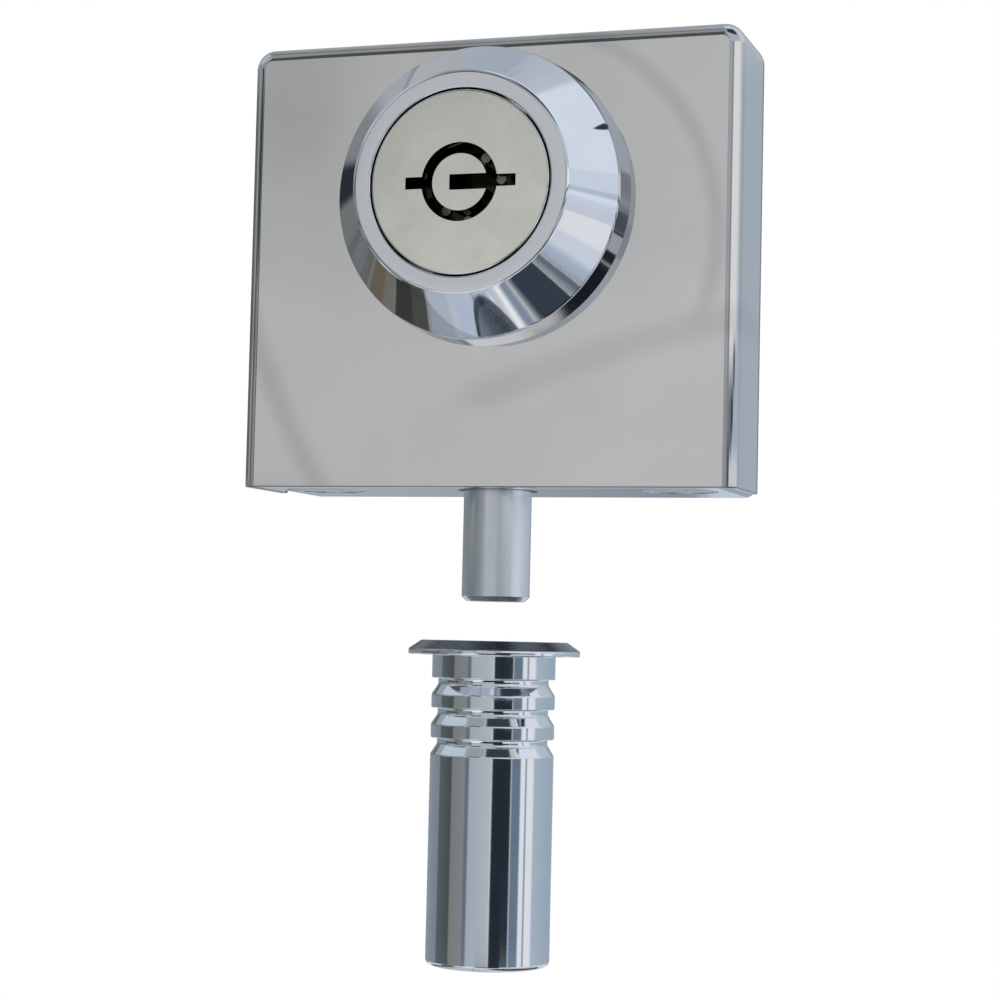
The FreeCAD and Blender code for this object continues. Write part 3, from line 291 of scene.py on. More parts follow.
# Bright zinc plate on steel: bluish, and blotchy from handling.
zinc_plate, where = new_finish("bright_zinc_plated_steel")
blotches = add(zinc_plate, "TexNoise", {"Vector": where, "Scale": 1 / (2.5 * mm), "Detail": 5.0})
tint = add(zinc_plate, "MixRGB", {
    "Fac": blotches.outputs["Fac"], "Color1": colour("#C4CBD4"), "Color2": colour("#E2E6EB")})
gloss = add(zinc_plate, "MapRange", {"Value": blotches.outputs["Fac"], "To Min": 0.16, "To Max": 0.34})
relief = add(zinc_plate, "Bump", {
    "Height": blotches.outputs["Fac"], "Strength": 0.08, "Distance": 0.1 * mm})
surface(zinc_plate, add(zinc_plate, "BsdfPrincipled", {
    "Base Color": tint.outputs["Color"], "Metallic": 1.0, "Roughness": gloss.outputs["Result"],
    "Normal": relief.outputs["Normal"]}))

screw_across = 27.3
bolt_plane = -16.5
screw_face = -41.9
screw_head = 5.6
screw_head_back = -39.9
screw_radius = 2.5
screw_tip = -30.2
slot_reach = 5.7
slot_half = 0.65
slot_deep = 1.1
screws = []
for side in (-1, 1):
    middle = (side * screw_across, bolt_plane, 0)
    screw = turned("Z", [
        (0, screw_face), (screw_head, screw_face), (screw_head, screw_head_back),
        (screw_radius, screw_head_back), (screw_radius, screw_tip), (0, screw_tip)], middle, steps=96)
    screw = cut(screw, block(
        (middle[0] - slot_reach, bolt_plane - slot_half, screw_face - 1),
        (middle[0] + slot_reach, bolt_plane + slot_half, screw_face + slot_deep)))
    soften_edges(screw, 0.15, 2)
    screws.append(screw)
slotted_screws = finished(joined(screws), "slotted_screws", zinc_plate)
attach(slotted_screws, "lock_body")
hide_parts("cover_screws")
dress("cover_lugs", zinc_plate)


# Lock case. A zinc die casting that carries all the rest, its seen faces polished and chrome plated.
# Its bottom face and its back edges show round the cover.

# Chrome plate on the casting: bluish and very bright, with the soft ripple that polishing leaves.
case_chrome, where = new_finish("chrome_plated_zinc_casting")
ripple = add(case_chrome, "TexNoise", {"Vector": where, "Scale": 1 / (6 * mm), "Detail": 3.0})
tint = add(case_chrome, "MixRGB", {
    "Fac": ripple.outputs["Fac"], "Color1": colour("#D3D8DF"), "Color2": colour("#E2E6EC")})
gloss = add(case_chrome, "MapRange", {"Value": ripple.outputs["Fac"], "To Min": 0.05, "To Max": 0.12})
relief = add(case_chrome, "Bump", {"Height": ripple.outputs["Fac"], "Strength": 0.15, "Distance": 0.1 * mm})
surface(case_chrome, add(case_chrome, "BsdfPrincipled", {
    "Base Color": tint.outputs["Color"], "Metallic": 1.0, "Roughness": gloss.outputs["Result"],
    "Normal": relief.outputs["Normal"]}))
dress("lock_case", case_chrome)
dress("case_back_plate", zinc_plate)
dress("back_plate_screws", zinc_plate)


# Guide bush. A thin ring of black nylon pressed into the case's floor, which the bolt slides in.

# Black nylon, moulded: a dull sheen with a faint mottle.
nylon, where = new_finish("black_nylon")
mottle = add(nylon, "TexNoise", {"Vector": where, "Scale": 1 / (0.8 * mm), "Detail": 4.0})
tint = add(nylon, "MixRGB", {
    "Fac": mottle.outputs["Fac"], "Color1": colour("#17181A"), "Color2": colour("#26282B")})
gloss = add(nylon, "MapRange", {"Value": mottle.outputs["Fac"], "To Min": 0.38, "To Max": 0.55})
relief = add(nylon, "Bump", {"Height": mottle.outputs["Fac"], "Strength": 0.2, "Distance": 0.05 * mm})
surface(nylon, add(nylon, "BsdfPrincipled", {
    "Base Color": tint.outputs["Color"], "Roughness": gloss.outputs["Result"],
    "Normal": relief.outputs["Normal"]}))
bush_bore = 5.05
bush_radius = 5.85
bush_top = -36.0
bush = turned("Z", [
    (bush_bore, screw_face), (bush_radius, screw_face), (bush_radius, bush_top), (bush_bore, bush_top)],
    (0, bolt_plane, 0))
soften_edges(bush, 0.12, 2)
nylon_bush = finished(bush, "nylon_bush", nylon)
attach(nylon_bush, "lock_body")
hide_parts("guide_bush")


# Collar. Turned from bar with a straight side, a steep cone and a narrow flat ring, then chrome
# plated to a mirror. The cylinder's housing clamps it against the cover.

# Chrome plate on turned metal: a mirror, cool in colour, with one small dark nick near the cone's foot
# at the upper right. The flat ring is painted a little darker: painted shade.
chrome, where = new_finish("bright_chrome_plate")
haze = add(chrome, "TexNoise", {"Vector": where, "Scale": 1 / (5 * mm), "Detail": 3.0})
tint = add(chrome, "MixRGB", {
    "Fac": haze.outputs["Fac"], "Color1": colour("#DADDE3"), "Color2": colour("#E6E8ED")})
sides = add(chrome, "SeparateXYZ", {"Vector": where})
# Painted shade: the flat ring is painted a little darker than the cone.
ring_painted_shade = add(chrome, "MapRange", {
    "Value": sides.outputs["Y"], "From Min": -37.3 * mm, "From Max": -37.38 * mm})
tint = add(chrome, "MixRGB", {
    "Fac": ring_painted_shade.outputs["Result"], "Color1": tint.outputs["Color"], "Color2": colour("#D9DCE2")})
nick_steps = 12
for step in range(nick_steps):
    size = 0.55 - 0.03 * step
    nick = Vector((19.0, -29.9, 8.5)).lerp(Vector((17.6, -32.0, 7.7)), step / (nick_steps - 1))
    apart = add(chrome, "VectorMath", {0: where, 1: nick * mm}, operation="DISTANCE")
    mark = add(chrome, "MapRange", {
        "Value": apart.outputs["Value"], "From Min": size * 0.7 * mm, "From Max": size * 1.2 * mm,
        "To Min": 0.9, "To Max": 0.0})
    tint = add(chrome, "MixRGB", {
        "Fac": mark.outputs["Result"], "Color1": tint.outputs["Color"], "Color2": colour("#2C3542")})
gloss = add(chrome, "MapRange", {"Value": haze.outputs["Fac"], "To Min": 0.03, "To Max": 0.07})
relief = add(chrome, "Bump", {"Height": haze.outputs["Fac"], "Strength": 0.05, "Distance": 0.05 * mm})
surface(chrome, add(chrome, "BsdfPrincipled", {
    "Base Color": tint.outputs["Color"], "Metallic": 1.0, "Roughness": gloss.outputs["Result"],
    "Normal": relief.outputs["Normal"]}))

face_plane = -37.4
shoulder = -27.5
collar_foot = 21.6
collar_radius = 21.2
collar_side_end = -29.5
ring_radius = 15.85
ring_bore = 13.35
collar = turned("Y", [
    (cylinder_hole, cover_front), (collar_foot, cover_front), (collar_radius, collar_side_end),
    (ring_radius, face_plane), (ring_bore, face_plane), (ring_bore, shoulder),
    (cylinder_hole, shoulder)], steps=192)
soften_edges(
    collar, 0.35, 5,
    lambda middle: abs(middle.y - collar_side_end) < 0.1 or (
        abs(middle.y - face_plane) < 0.1 and math.hypot(middle.x, middle.z) > 14.5))
soften_edges(collar, 0.25, 2, lambda middle: abs(middle.y - face_plane) < 0.1)
turned_collar = finished(collar, "turned_collar", chrome)
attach(turned_collar, "lock_body")
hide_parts("collar")


# Cylinder housing. Turned brass with a satin nickel face flush with the collar's ring. The round
# keyway is bored through it, and two notches let the key's nib into the groove behind its lip.

# Satin nickel: a yellowish grey, finely blasted, and blotchy where fingers have been. Behind the face,
# in the keyway and its notches, it is painted nearly black: painted shade.
satin_nickel, where = new_finish("satin_nickel_plated_brass")
grit = add(satin_nickel, "TexNoise", {
    "Vector": where, "Scale": 1 / (0.35 * mm), "Detail": 4.0, "Roughness": 0.7})
stains = add(satin_nickel, "TexNoise", {
    "Vector": where, "Scale": 1 / (5 * mm), "Detail": 3.0, "Distortion": 0.6})
tint = add(satin_nickel, "MixRGB", {
    "Fac": stains.outputs["Fac"], "Color1": colour("#CFD0C8"), "Color2": colour("#EBEBE4")})
depth = add(satin_nickel, "SeparateXYZ", {"Vector": where})
# Painted shade: behind the face, in the keyway, the colour goes nearly black.
keyway_painted_shade = add(satin_nickel, "MapRange", {
    "Value": depth.outputs["Y"], "From Min": -37.15 * mm, "From Max": -36.6 * mm},
    interpolation_type="SMOOTHSTEP")
tint = add(satin_nickel, "MixRGB", {
    "Fac": keyway_painted_shade.outputs["Result"], "Color1": tint.outputs["Color"], "Color2": colour("#2A261F")})
gloss = add(satin_nickel, "MapRange", {"Value": stains.outputs["Fac"], "To Min": 0.10, "To Max": 0.15})
relief = add(satin_nickel, "Bump", {"Height": grit.outputs["Fac"], "Strength": 0.12, "Distance": 0.05 * mm})
surface(satin_nickel, add(satin_nickel, "BsdfPrincipled", {
    "Base Color": tint.outputs["Color"], "Metallic": 1.0, "Roughness": gloss.outputs["Result"],
    "Normal": relief.outputs["Normal"]}))

face_radius = 13.15
housing_radius = 9.5
housing_bore = 7.7
housing_back = -10.0
keyway_radius = 5.6
keyway_back = -31.4
groove_radius = 8.35
groove_back = -33.0
groove_front = -35.4
notch_left = 2.4
notch_right = 2.7
notch_half = 0.85
lock_pin_hole = 1.05
lock_pin_place = -14.3
housing = turned("Y", [
    (keyway_radius, face_plane), (face_radius, face_plane), (face_radius, shoulder),
    (housing_radius, shoulder), (housing_radius, housing_back), (housing_bore, housing_back),
    (housing_bore, keyway_back), (keyway_radius, keyway_back), (keyway_radius, groove_back),
    (groove_radius, groove_back), (groove_radius, groove_front), (keyway_radius, groove_front)])
for side, reach in ((-1, notch_left), (1, notch_right)):
    ends = sorted((side * (keyway_radius - 1), side * (keyway_radius + reach)))
    housing = cut(housing, block(
        (ends[0], face_plane - 1, -notch_half), (ends[1], groove_front, notch_half)))
housing = cut(housing, drill("Z", lock_pin_hole, (0, lock_pin_place, 7), (0, lock_pin_place, 10)))
soften_edges(housing, 0.3, 3, lambda middle: middle.y < -37 and math.hypot(middle.x, middle.z) > 12)
soften_edges(housing, 0.12, 2)
cylinder_face = finished(housing, "cylinder_face", satin_nickel)
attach(cylinder_face, "lock_body")
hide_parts("cylinder_housing")


# Spindle and key pins. The post in the keyway is the spindle's front end, nickel plated as the face
# is. The seven brass pins end at different heights at the bottom of the keyway.

# Brass, turned bright and dulled by handling, darker in its hollows.
brass, where = new_finish("turned_brass")
tarnish = add(brass, "TexNoise", {"Vector": where, "Scale": 1 / (1.5 * mm), "Detail": 4.0})
tint = add(brass, "MixRGB", {
    "Fac": tarnish.outputs["Fac"], "Color1": colour("#A98F5C"), "Color2": colour("#D9C48E")})
gloss = add(brass, "MapRange", {"Value": tarnish.outputs["Fac"], "To Min": 0.2, "To Max": 0.4})
relief = add(brass, "Bump", {"Height": tarnish.outputs["Fac"], "Strength": 0.1, "Distance": 0.05 * mm})
surface(brass, add(brass, "BsdfPrincipled", {
    "Base Color": tint.outputs["Color"], "Metallic": 1.0, "Roughness": gloss.outputs["Result"],
    "Normal": relief.outputs["Normal"]}))
dress("spindle", satin_nickel)
for name in ("driver_sleeve", "driver_pins", "housing_nut"):
    dress(name, brass)

# The key pins' brass: paler where the key has worn it, with old grease in its hollows.
worn_brass, where = new_finish("worn_greasy_brass")
wear = add(worn_brass, "TexNoise", {"Vector": where, "Scale": 1 / (0.8 * mm), "Detail": 3.0})
tint = add(worn_brass, "MixRGB", {
    "Fac": wear.outputs["Fac"], "Color1": colour("#8A8168"), "Color2": colour("#C8BFA4")})
gloss = add(worn_brass, "MapRange", {"Value": wear.outputs["Fac"], "To Min": 0.3, "To Max": 0.45})
relief = add(worn_brass, "Bump", {"Height": wear.outputs["Fac"], "Strength": 0.1, "Distance": 0.05 * mm})
surface(worn_brass, add(worn_brass, "BsdfPrincipled", {
    "Base Color": tint.outputs["Color"], "Metallic": 1.0, "Roughness": gloss.outputs["Result"],
    "Normal": relief.outputs["Normal"]}))
dress("key_pins", worn_brass)


# Drive. A hardened pinion on the spindle's square tail, with its washer and screw, turns against a
# rack beside it. The retaining pin and the pins' springs are plain wire.

# Ground tool steel: grey, with fine grinding marks round the bolt, drawn coarser than they are to show.
ground_steel, where = new_finish("ground_steel")
around = add(ground_steel, "Mapping", {"Vector": where, "Scale": (1.0, 1.0, 14.0)})
grinding = add(ground_steel, "TexNoise", {
    "Vector": around.outputs["Vector"], "Scale": 1 / (3 * mm), "Detail": 5.0})
tint = add(ground_steel, "MixRGB", {
    "Fac": grinding.outputs["Fac"], "Color1": colour("#DEE1E6"), "Color2": colour("#E8EBEF")})
gloss = add(ground_steel, "MapRange", {"Value": grinding.outputs["Fac"], "To Min": 0.20, "To Max": 0.28})
relief = add(ground_steel, "Bump", {
    "Height": grinding.outputs["Fac"], "Strength": 0.01, "Distance": 0.05 * mm})
surface(ground_steel, add(ground_steel, "BsdfPrincipled", {
    "Base Color": tint.outputs["Color"], "Metallic": 1.0, "Roughness": gloss.outputs["Result"],
    "Normal": relief.outputs["Normal"]}))
for name in ("pinion", "bolt_rack", "retaining_pin"):
    dress(name, ground_steel)
for name in ("pinion_washer", "pinion_screw", "rod_screw", "pin_springs"):
    dress(name, zinc_plate)


# Bolt. A round bar of ground steel with a bevelled end. At its top a flat is milled for the rack's
# lug, which a screw holds there.
bolt_radius = 5.0
bolt_bevel = 0.7
bolt_end = -58.3
bolt_head = -28.5
flat_plane = -13.0
flat_bottom = -35.7
rod_screw_height = -32.25
rod_screw_hole = 1.55
bolt = turned("Z", [
    (0, bolt_end), (bolt_radius - bolt_bevel, bolt_end), (bolt_radius, bolt_end + bolt_bevel),
    (bolt_radius, bolt_head), (0, bolt_head)], (0, bolt_plane, 0))
bolt = cut(bolt, block((-6, flat_plane, flat_bottom), (6, flat_plane + 3, bolt_head + 1)))
bolt = cut(bolt, drill(
    "Y", rod_screw_hole, (0, flat_plane - 6, rod_screw_height), (0, flat_plane + 1, rod_screw_height)))
soften_edges(bolt, 0.15, 2)
round_bolt = finished(bolt, "round_bolt", ground_steel)
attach(round_bolt, "bolt")
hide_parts("bolt_rod")


# Glass clamp. Rubber gaskets on both sides of the glass, a satin stainless plate behind it, and two
# socket screws through nylon sleeves that keep them off the glass.

# Black rubber sheet: dull, with a fine pebble.
rubber, where = new_finish("black_rubber_sheet")
pebble = add(rubber, "TexVoronoi", {"Vector": where, "Scale": 1 / (0.6 * mm)})
tint = add(rubber, "MixRGB", {
    "Fac": pebble.outputs["Distance"], "Color1": colour("#141414"), "Color2": colour("#222222")})
gloss = add(rubber, "MapRange", {"Value": pebble.outputs["Distance"], "To Min": 0.62, "To Max": 0.8})
relief = add(rubber, "Bump", {"Height": pebble.outputs["Distance"], "Strength": 0.3, "Distance": 0.05 * mm})
surface(rubber, add(rubber, "BsdfPrincipled", {
    "Base Color": tint.outputs["Color"], "Roughness": gloss.outputs["Result"],
    "Normal": relief.outputs["Normal"]}))

# Brushed stainless: grain along X, whose real scratches of 0.02 mm are drawn at 0.15 mm to show.
brushed, where = new_finish("brushed_stainless_plate")
along = add(brushed, "Mapping", {"Vector": where, "Scale": (0.02, 1.0, 1.0)})
grain = add(brushed, "TexNoise", {
    "Vector": along.outputs["Vector"], "Scale": 1 / (0.15 * mm), "Detail": 4.0})
tint = add(brushed, "MixRGB", {
    "Fac": grain.outputs["Fac"], "Color1": colour("#B7B6B3"), "Color2": colour("#D3D2CF")})
gloss = add(brushed, "MapRange", {"Value": grain.outputs["Fac"], "To Min": 0.24, "To Max": 0.38})
relief = add(brushed, "Bump", {"Height": grain.outputs["Fac"], "Strength": 0.15, "Distance": 0.05 * mm})
surface(brushed, add(brushed, "BsdfPrincipled", {
    "Base Color": tint.outputs["Color"], "Metallic": 1.0, "Roughness": gloss.outputs["Result"],
    "Normal": relief.outputs["Normal"]}))
dress("front_gasket", rubber)
dress("rear_gasket", rubber)
dress("rear_plate", brushed)
dress("clamp_screws", zinc_plate)
dress("clamp_sleeves", nylon)


# Strike. A socket turned from bar and chrome plated, with a bevelled flange that sits on the floor
# and three barbs that hold its barrel in the hole.

# Chrome plate on the strike: the collar's mirror again, but rougher on the flange. The flange's bevel
# is painted dark and its flat top a little less dark: painted shade.
strike_chrome, where = new_finish("chrome_plate_with_painted_flange_shade")
haze = add(strike_chrome, "TexNoise", {"Vector": where, "Scale": 1 / (4 * mm), "Detail": 3.0})
tint = add(strike_chrome, "MixRGB", {
    "Fac": haze.outputs["Fac"], "Color1": colour("#DEE1E7"), "Color2": colour("#E8EAEE")})
sides = add(strike_chrome, "SeparateXYZ", {"Vector": where})
# Painted shade: the flange's bevel is painted dark and its flat top a little less dark.
flat_top = add(strike_chrome, "MapRange", {
    "Value": sides.outputs["Z"], "From Min": -64.2 * mm, "From Max": -64.1 * mm})
flange_painted_shade = add(strike_chrome, "MixRGB", {
    "Fac": flat_top.outputs["Result"], "Color1": colour("#747B7F"), "Color2": colour("#BFC3C7")})
above = add(strike_chrome, "MapRange", {
    "Value": sides.outputs["Z"], "From Min": -65.55 * mm, "From Max": -65.35 * mm})
tint = add(strike_chrome, "MixRGB", {
    "Fac": above.outputs["Result"], "Color1": tint.outputs["Color"], "Color2": flange_painted_shade.outputs["Color"]})
gloss = add(strike_chrome, "MapRange", {"Value": haze.outputs["Fac"], "To Min": 0.05, "To Max": 0.09})
dull = add(strike_chrome, "Math", {
    0: above.outputs["Result"], 1: 0.2, 2: gloss.outputs["Result"]}, operation="MULTIPLY_ADD")
relief = add(strike_chrome, "Bump", {
    "Height": haze.outputs["Fac"], "Strength": 0.05, "Distance": 0.05 * mm})
surface(strike_chrome, add(strike_chrome, "BsdfPrincipled", {
    "Base Color": tint.outputs["Color"], "Metallic": 1.0, "Roughness": dull.outputs[0],
    "Normal": relief.outputs["Normal"]}))

strike_top = -64.1
strike_foot = -111.1
mouth_radius = 5.4
mouth_length = 5
bore_radius = 7.0
flange_flat = 10.7
flange_radius = 12.6
flange_bevel = 1.3
flange_height = 2.1
barrel_radius = 9.05
barb_count = 3
barb_start = 5.5
barb_pitch = 4.35
barb_deep = 0.95
barb_floor = 0.9
barb_height = 2.4
strike_outline = [
    (mouth_radius, strike_top), (flange_flat, strike_top), (flange_radius, strike_top - flange_bevel),
    (flange_radius, strike_top - flange_height), (barrel_radius, strike_top - flange_height)]
for barb in range(barb_count):
    step = strike_top - barb_start - barb_pitch * barb
    strike_outline += [
        (barrel_radius, step), (barrel_radius - barb_deep, step),
        (barrel_radius - barb_deep, step - barb_floor), (barrel_radius, step - barb_height)]
strike_outline += [
    (barrel_radius, strike_foot), (bore_radius, strike_foot), (bore_radius, strike_top - mouth_length),
    (mouth_radius, strike_top - mouth_length)]
strike = turned("Z", strike_outline, (0, bolt_plane, 0), 160)
soften_edges(
    strike, 0.8, 5,
    lambda middle: middle.z < strike_foot + 0.1 and math.hypot(middle.x, middle.y - bolt_plane) > 8)
soften_edges(strike, 0.15, 2)
barbed_strike = finished(strike, "barbed_strike", strike_chrome)
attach(barbed_strike, "lock_body")
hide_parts("strike_shell")


# Dust plunger. A turned plug that a spring holds flush in the strike's mouth, and that the bolt
# pushes down. A cap closes the barrel's foot under the spring.
plunger_radius = 5.32
skirt_radius = 6.92
skirt_top = -69.15
skirt_bottom = -73.15
spigot_radius = 3.6
spigot_end = -77.1
plunger = turned("Z", [
    (0, strike_top), (plunger_radius, strike_top), (plunger_radius, skirt_top), (skirt_radius, skirt_top),
    (skirt_radius, skirt_bottom), (spigot_radius, skirt_bottom), (spigot_radius, spigot_end),
    (0, spigot_end)], (0, bolt_plane, 0))
soften_edges(plunger, 0.25, 2)
dust_plunger = finished(plunger, "dust_plunger", strike_chrome)
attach(dust_plunger, "dust_plunger")
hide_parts("strike_plunger")
dress("strike_cap", brass)


# Strike spring. A coil of round spring wire, zinc plated, between the cap and the plunger's skirt.
# In the lock it shortens as the plunger goes down; here it keeps one length.
cap_top = -108.1
seat_gap = 0.1
wire_radius = 0.45
coil_radius = 5.1
spring_turns = 9
turn_steps = 32
spring_low = cap_top + seat_gap + wire_radius
spring_high = skirt_bottom - seat_gap - wire_radius
spring_steps = spring_turns * turn_steps
spring = bmesh.new()
wire_end = Matrix.Translation(Vector((coil_radius, bolt_plane, spring_low)) * mm)
bmesh.ops.create_circle(
    spring, cap_ends=True, segments=12, radius=wire_radius * mm,
    matrix=wire_end @ Matrix.Rotation(math.radians(90), 4, "X"))
bmesh.ops.spin(
    spring, geom=spring.verts[:] + spring.edges[:] + spring.faces[:], cent=Vector((0, bolt_plane, 0)) * mm,
    axis=(0, 0, 1), dvec=(0, 0, (spring_high - spring_low) / spring_steps * mm),
    angle=math.radians(360 * spring_turns), steps=spring_steps)
bmesh.ops.recalc_face_normals(spring, faces=spring.faces)
coil_spring = finished(spring, "coil_spring", zinc_plate)
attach(coil_spring, "lock_body")
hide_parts("strike_spring")
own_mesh(coil_spring)


# Studio. A pale floor well below the strike, and a white room. Cards round the object are what its
# metal reflects: soft greys before the plate, near white at the right, and dark flags at the left.
# The camera doesn't see them and they cast no shadow.

# The floor: matt and pale near the object, so that it keeps the shadow, and plain white far off.
floor_finish, where = new_finish("pale_floor")
path = add(floor_finish, "LightPath", {})
seen = add(floor_finish, "Math", {
    0: path.outputs["Is Camera Ray"], 1: path.outputs["Is Glossy Ray"]}, operation="MAXIMUM")
seen = add(floor_finish, "Math", {
    0: seen.outputs[0], 1: path.outputs["Is Transmission Ray"]}, operation="MAXIMUM")
distance = add(floor_finish, "VectorMath", {0: where}, operation="LENGTH")
far = add(floor_finish, "MapRange", {
    "Value": distance.outputs["Value"], "From Min": 0.7, "From Max": 1.5}, interpolation_type="SMOOTHSTEP")
share = add(floor_finish, "Math", {0: seen.outputs[0], 1: far.outputs["Result"]}, operation="MULTIPLY")
matt = add(floor_finish, "BsdfDiffuse", {"Color": colour("#F2F2F2")})
white = add(floor_finish, "Emission", {"Color": colour("#FFFFFF"), "Strength": 1.0})
surface(floor_finish, add(floor_finish, "MixShader", {
    0: share.outputs[0], 1: matt.outputs[0], 2: white.outputs[0]}))
floor_height = -0.5
floor_shape = bmesh.new()
bmesh.ops.create_grid(
    floor_shape, x_segments=2, y_segments=2, size=40, matrix=Matrix.Translation((0, 0, floor_height)))
floor_mesh = bpy.data.meshes.new("floor")
floor_shape.to_mesh(floor_mesh)
floor_shape.free()
floor_mesh.materials.append(floor_finish)
floor = bpy.data.objects.new("floor", floor_mesh)
bpy.context.scene.collection.objects.link(floor)

world = bpy.data.worlds.new("white_room")
world.use_nodes = True
world.node_tree.nodes.clear()
path = add(world, "LightPath", {})
seen = add(world, "Math", {
    0: path.outputs["Is Camera Ray"], 1: path.outputs["Is Glossy Ray"]}, operation="MAXIMUM")
seen = add(world, "Math", {0: seen.outputs[0], 1: path.outputs["Is Transmission Ray"]}, operation="MAXIMUM")
room_light = add(world, "Background", {"Color": colour("#F4F6F8"), "Strength": 0.55})
room_white = add(world, "Background", {"Color": colour("#FFFFFF"), "Strength": 1.0})
room = add(world, "MixShader", {0: seen.outputs[0], 1: room_light.outputs[0], 2: room_white.outputs[0]})
add(world, "OutputWorld", {"Surface": room.outputs[0]})
bpy.context.scene.world = world

room_centre = Vector((0, -0.025, -0.02))


def hang(shape, name, paint, solid, tone):
    """Makes a card of a bmesh. It is clear where it isn't solid, and only reflections show it."""
    light = add(paint, "Emission", {"Color": tone, "Strength": 1.0})
    clear = add(paint, "BsdfTransparent", {})
    surface(paint, add(paint, "MixShader", {0: solid.outputs[0], 1: clear.outputs[0], 2: light.outputs[0]}))
    paint.cycles.emission_sampling = "NONE"
    mesh = bpy.data.meshes.new("card_" + name)
    shape.to_mesh(mesh)
    shape.free()
    mesh.materials.append(paint)
    made = bpy.data.objects.new("card_" + name, mesh)
    bpy.context.scene.collection.objects.link(made)
    made.visible_camera = False
    made.visible_diffuse = False
    made.visible_shadow = False


def card(name, sides, heights, far, tone, second_tone=None, soft=1.5, soft_ends=1.5):
    """A bent card round the object, from one bearing to another and one height to another.

    Both are degrees, and bearing 0 is straight before the lock's face and 90 at its right. The card
    fades out at its sides and at its upper and lower ends, and shades to its second tone."""
    middle = math.radians((sides[0] + sides[1]) / 2)
    half = math.radians(sides[1] - sides[0]) / 2
    low = far * math.sin(math.radians(heights[0]))
    high = far * math.sin(math.radians(heights[1]))
    shape = bmesh.new()
    rows = max(2, int((heights[1] - heights[0]) / 5))
    corners = []
    for row in range(rows + 1):
        height = math.radians(heights[0] + (heights[1] - heights[0]) * row / rows)
        corners.append(shape.verts.new(room_centre + far * Vector((
            math.cos(height) * math.sin(middle - half), -math.cos(height) * math.cos(middle - half),
            math.sin(height)))))
    edges = [shape.edges.new(pair) for pair in zip(corners, corners[1:])]
    bmesh.ops.spin(
        shape, geom=corners + edges, cent=room_centre, axis=(0, 0, 1), angle=2 * half,
        steps=max(2, int(math.degrees(half) / 2)))

    paint, where = new_finish("card_" + name)
    place = add(paint, "VectorMath", {0: where, 1: room_centre}, operation="SUBTRACT").outputs["Vector"]
    ahead = add(paint, "VectorMath", {
        0: place, 1: (math.sin(middle), -math.cos(middle), 0)}, operation="DOT_PRODUCT")
    across = add(paint, "VectorMath", {
        0: place, 1: (math.cos(middle), math.sin(middle), 0)}, operation="DOT_PRODUCT")
    bearing = add(paint, "Math", {
        0: across.outputs["Value"], 1: ahead.outputs["Value"]}, operation="ARCTAN2")
    tone_share = add(paint, "MapRange", {"Value": bearing.outputs[0], "From Min": -half, "From Max": half})
    blend = add(paint, "MixRGB", {
        "Fac": tone_share.outputs["Result"], "Color1": colour(tone), "Color2": colour(second_tone or tone)})
    aside = add(paint, "Math", {0: bearing.outputs[0]}, operation="ABSOLUTE")
    side_fade = add(paint, "MapRange", {
        "Value": aside.outputs[0], "From Min": half - math.radians(soft), "From Max": half, "To Min": 1.0,
        "To Max": 0.0}, interpolation_type="SMOOTHSTEP")
    up = add(paint, "SeparateXYZ", {"Vector": place})
    off = add(paint, "Math", {0: up.outputs["Z"], 1: (low + high) / 2}, operation="SUBTRACT")
    off = add(paint, "Math", {0: off.outputs[0]}, operation="ABSOLUTE")
    height_fade = add(paint, "MapRange", {
        "Value": off.outputs[0], "From Min": (high - low) / 2 - far * math.radians(soft_ends),
        "From Max": (high - low) / 2, "To Min": 1.0, "To Max": 0.0}, interpolation_type="SMOOTHSTEP")
    solid = add(paint, "Math", {
        0: side_fade.outputs["Result"], 1: height_fade.outputs["Result"]}, operation="MULTIPLY")
    hang(shape, name, paint, solid, blend.outputs["Color"])


def strip(name, left, right, tone, soft=10):
    """A flat card just over the floor, from the front to the back, between two places along X in mm."""
    shape = bmesh.new()
    middle = (left + right) / 2
    place = Matrix.Translation(Vector((middle, 0, -450)) * mm)
    spread = Matrix.Diagonal(((right - left) * mm, 900 * mm, 1, 1))
    bmesh.ops.create_grid(shape, x_segments=1, y_segments=1, size=0.5, matrix=place @ spread)
    paint, where = new_finish("card_" + name)
    across = add(paint, "SeparateXYZ", {"Vector": where})
    off = add(paint, "Math", {0: across.outputs["X"], 1: middle * mm}, operation="SUBTRACT")
    off = add(paint, "Math", {0: off.outputs[0]}, operation="ABSOLUTE")
    half = (right - left) / 2
    solid = add(paint, "MapRange", {
        "Value": off.outputs[0], "From Min": (half - soft) * mm, "From Max": half * mm, "To Min": 1.0,
        "To Max": 0.0}, interpolation_type="SMOOTHSTEP")
    hang(shape, name, paint, solid, colour(tone))


# Walls and ceiling, farthest out.
card("left_wall", (-184, -18), (-3, 24), 2.8, "#5D6161", "#7C8282", soft=4)
card("right_wall", (-30, 100), (-3, 22), 2.8, "#C2C8CE", soft=4)
card("back_wall", (92, 184), (-3, 22), 2.9, "#B8C4D1", "#B0BCC8", soft=4)
card("left_ceiling", (-128, -2), (13, 86), 2.5, "#A4ABB3", soft=5, soft_ends=2)
card("back_left_ceiling", (-186, -104), (17, 86), 2.6, "#B2BAC4", soft=5, soft_ends=2)
card("right_ceiling", (-10, 104), (14, 86), 2.6, "#C9CFD6", soft=5, soft_ends=2)
card("far_right_ceiling", (78, 138), (14, 78), 2.5, "#E8F0F9", soft=8, soft_ends=4)
card("back_right_ceiling", (126, 186), (14, 86), 2.6, "#CCD5DF", "#BCC5CF", soft=5, soft_ends=2)
card("low_wall_left", (-184, 4), (-21, -12.3), 1.3, "#A5ABAF", "#8D9290", soft=2, soft_ends=0.5)
card("low_wall_right", (-4, 184), (-21, -12.3), 1.3, "#DCE4EC", "#B5BFC9", soft=2, soft_ends=0.5)

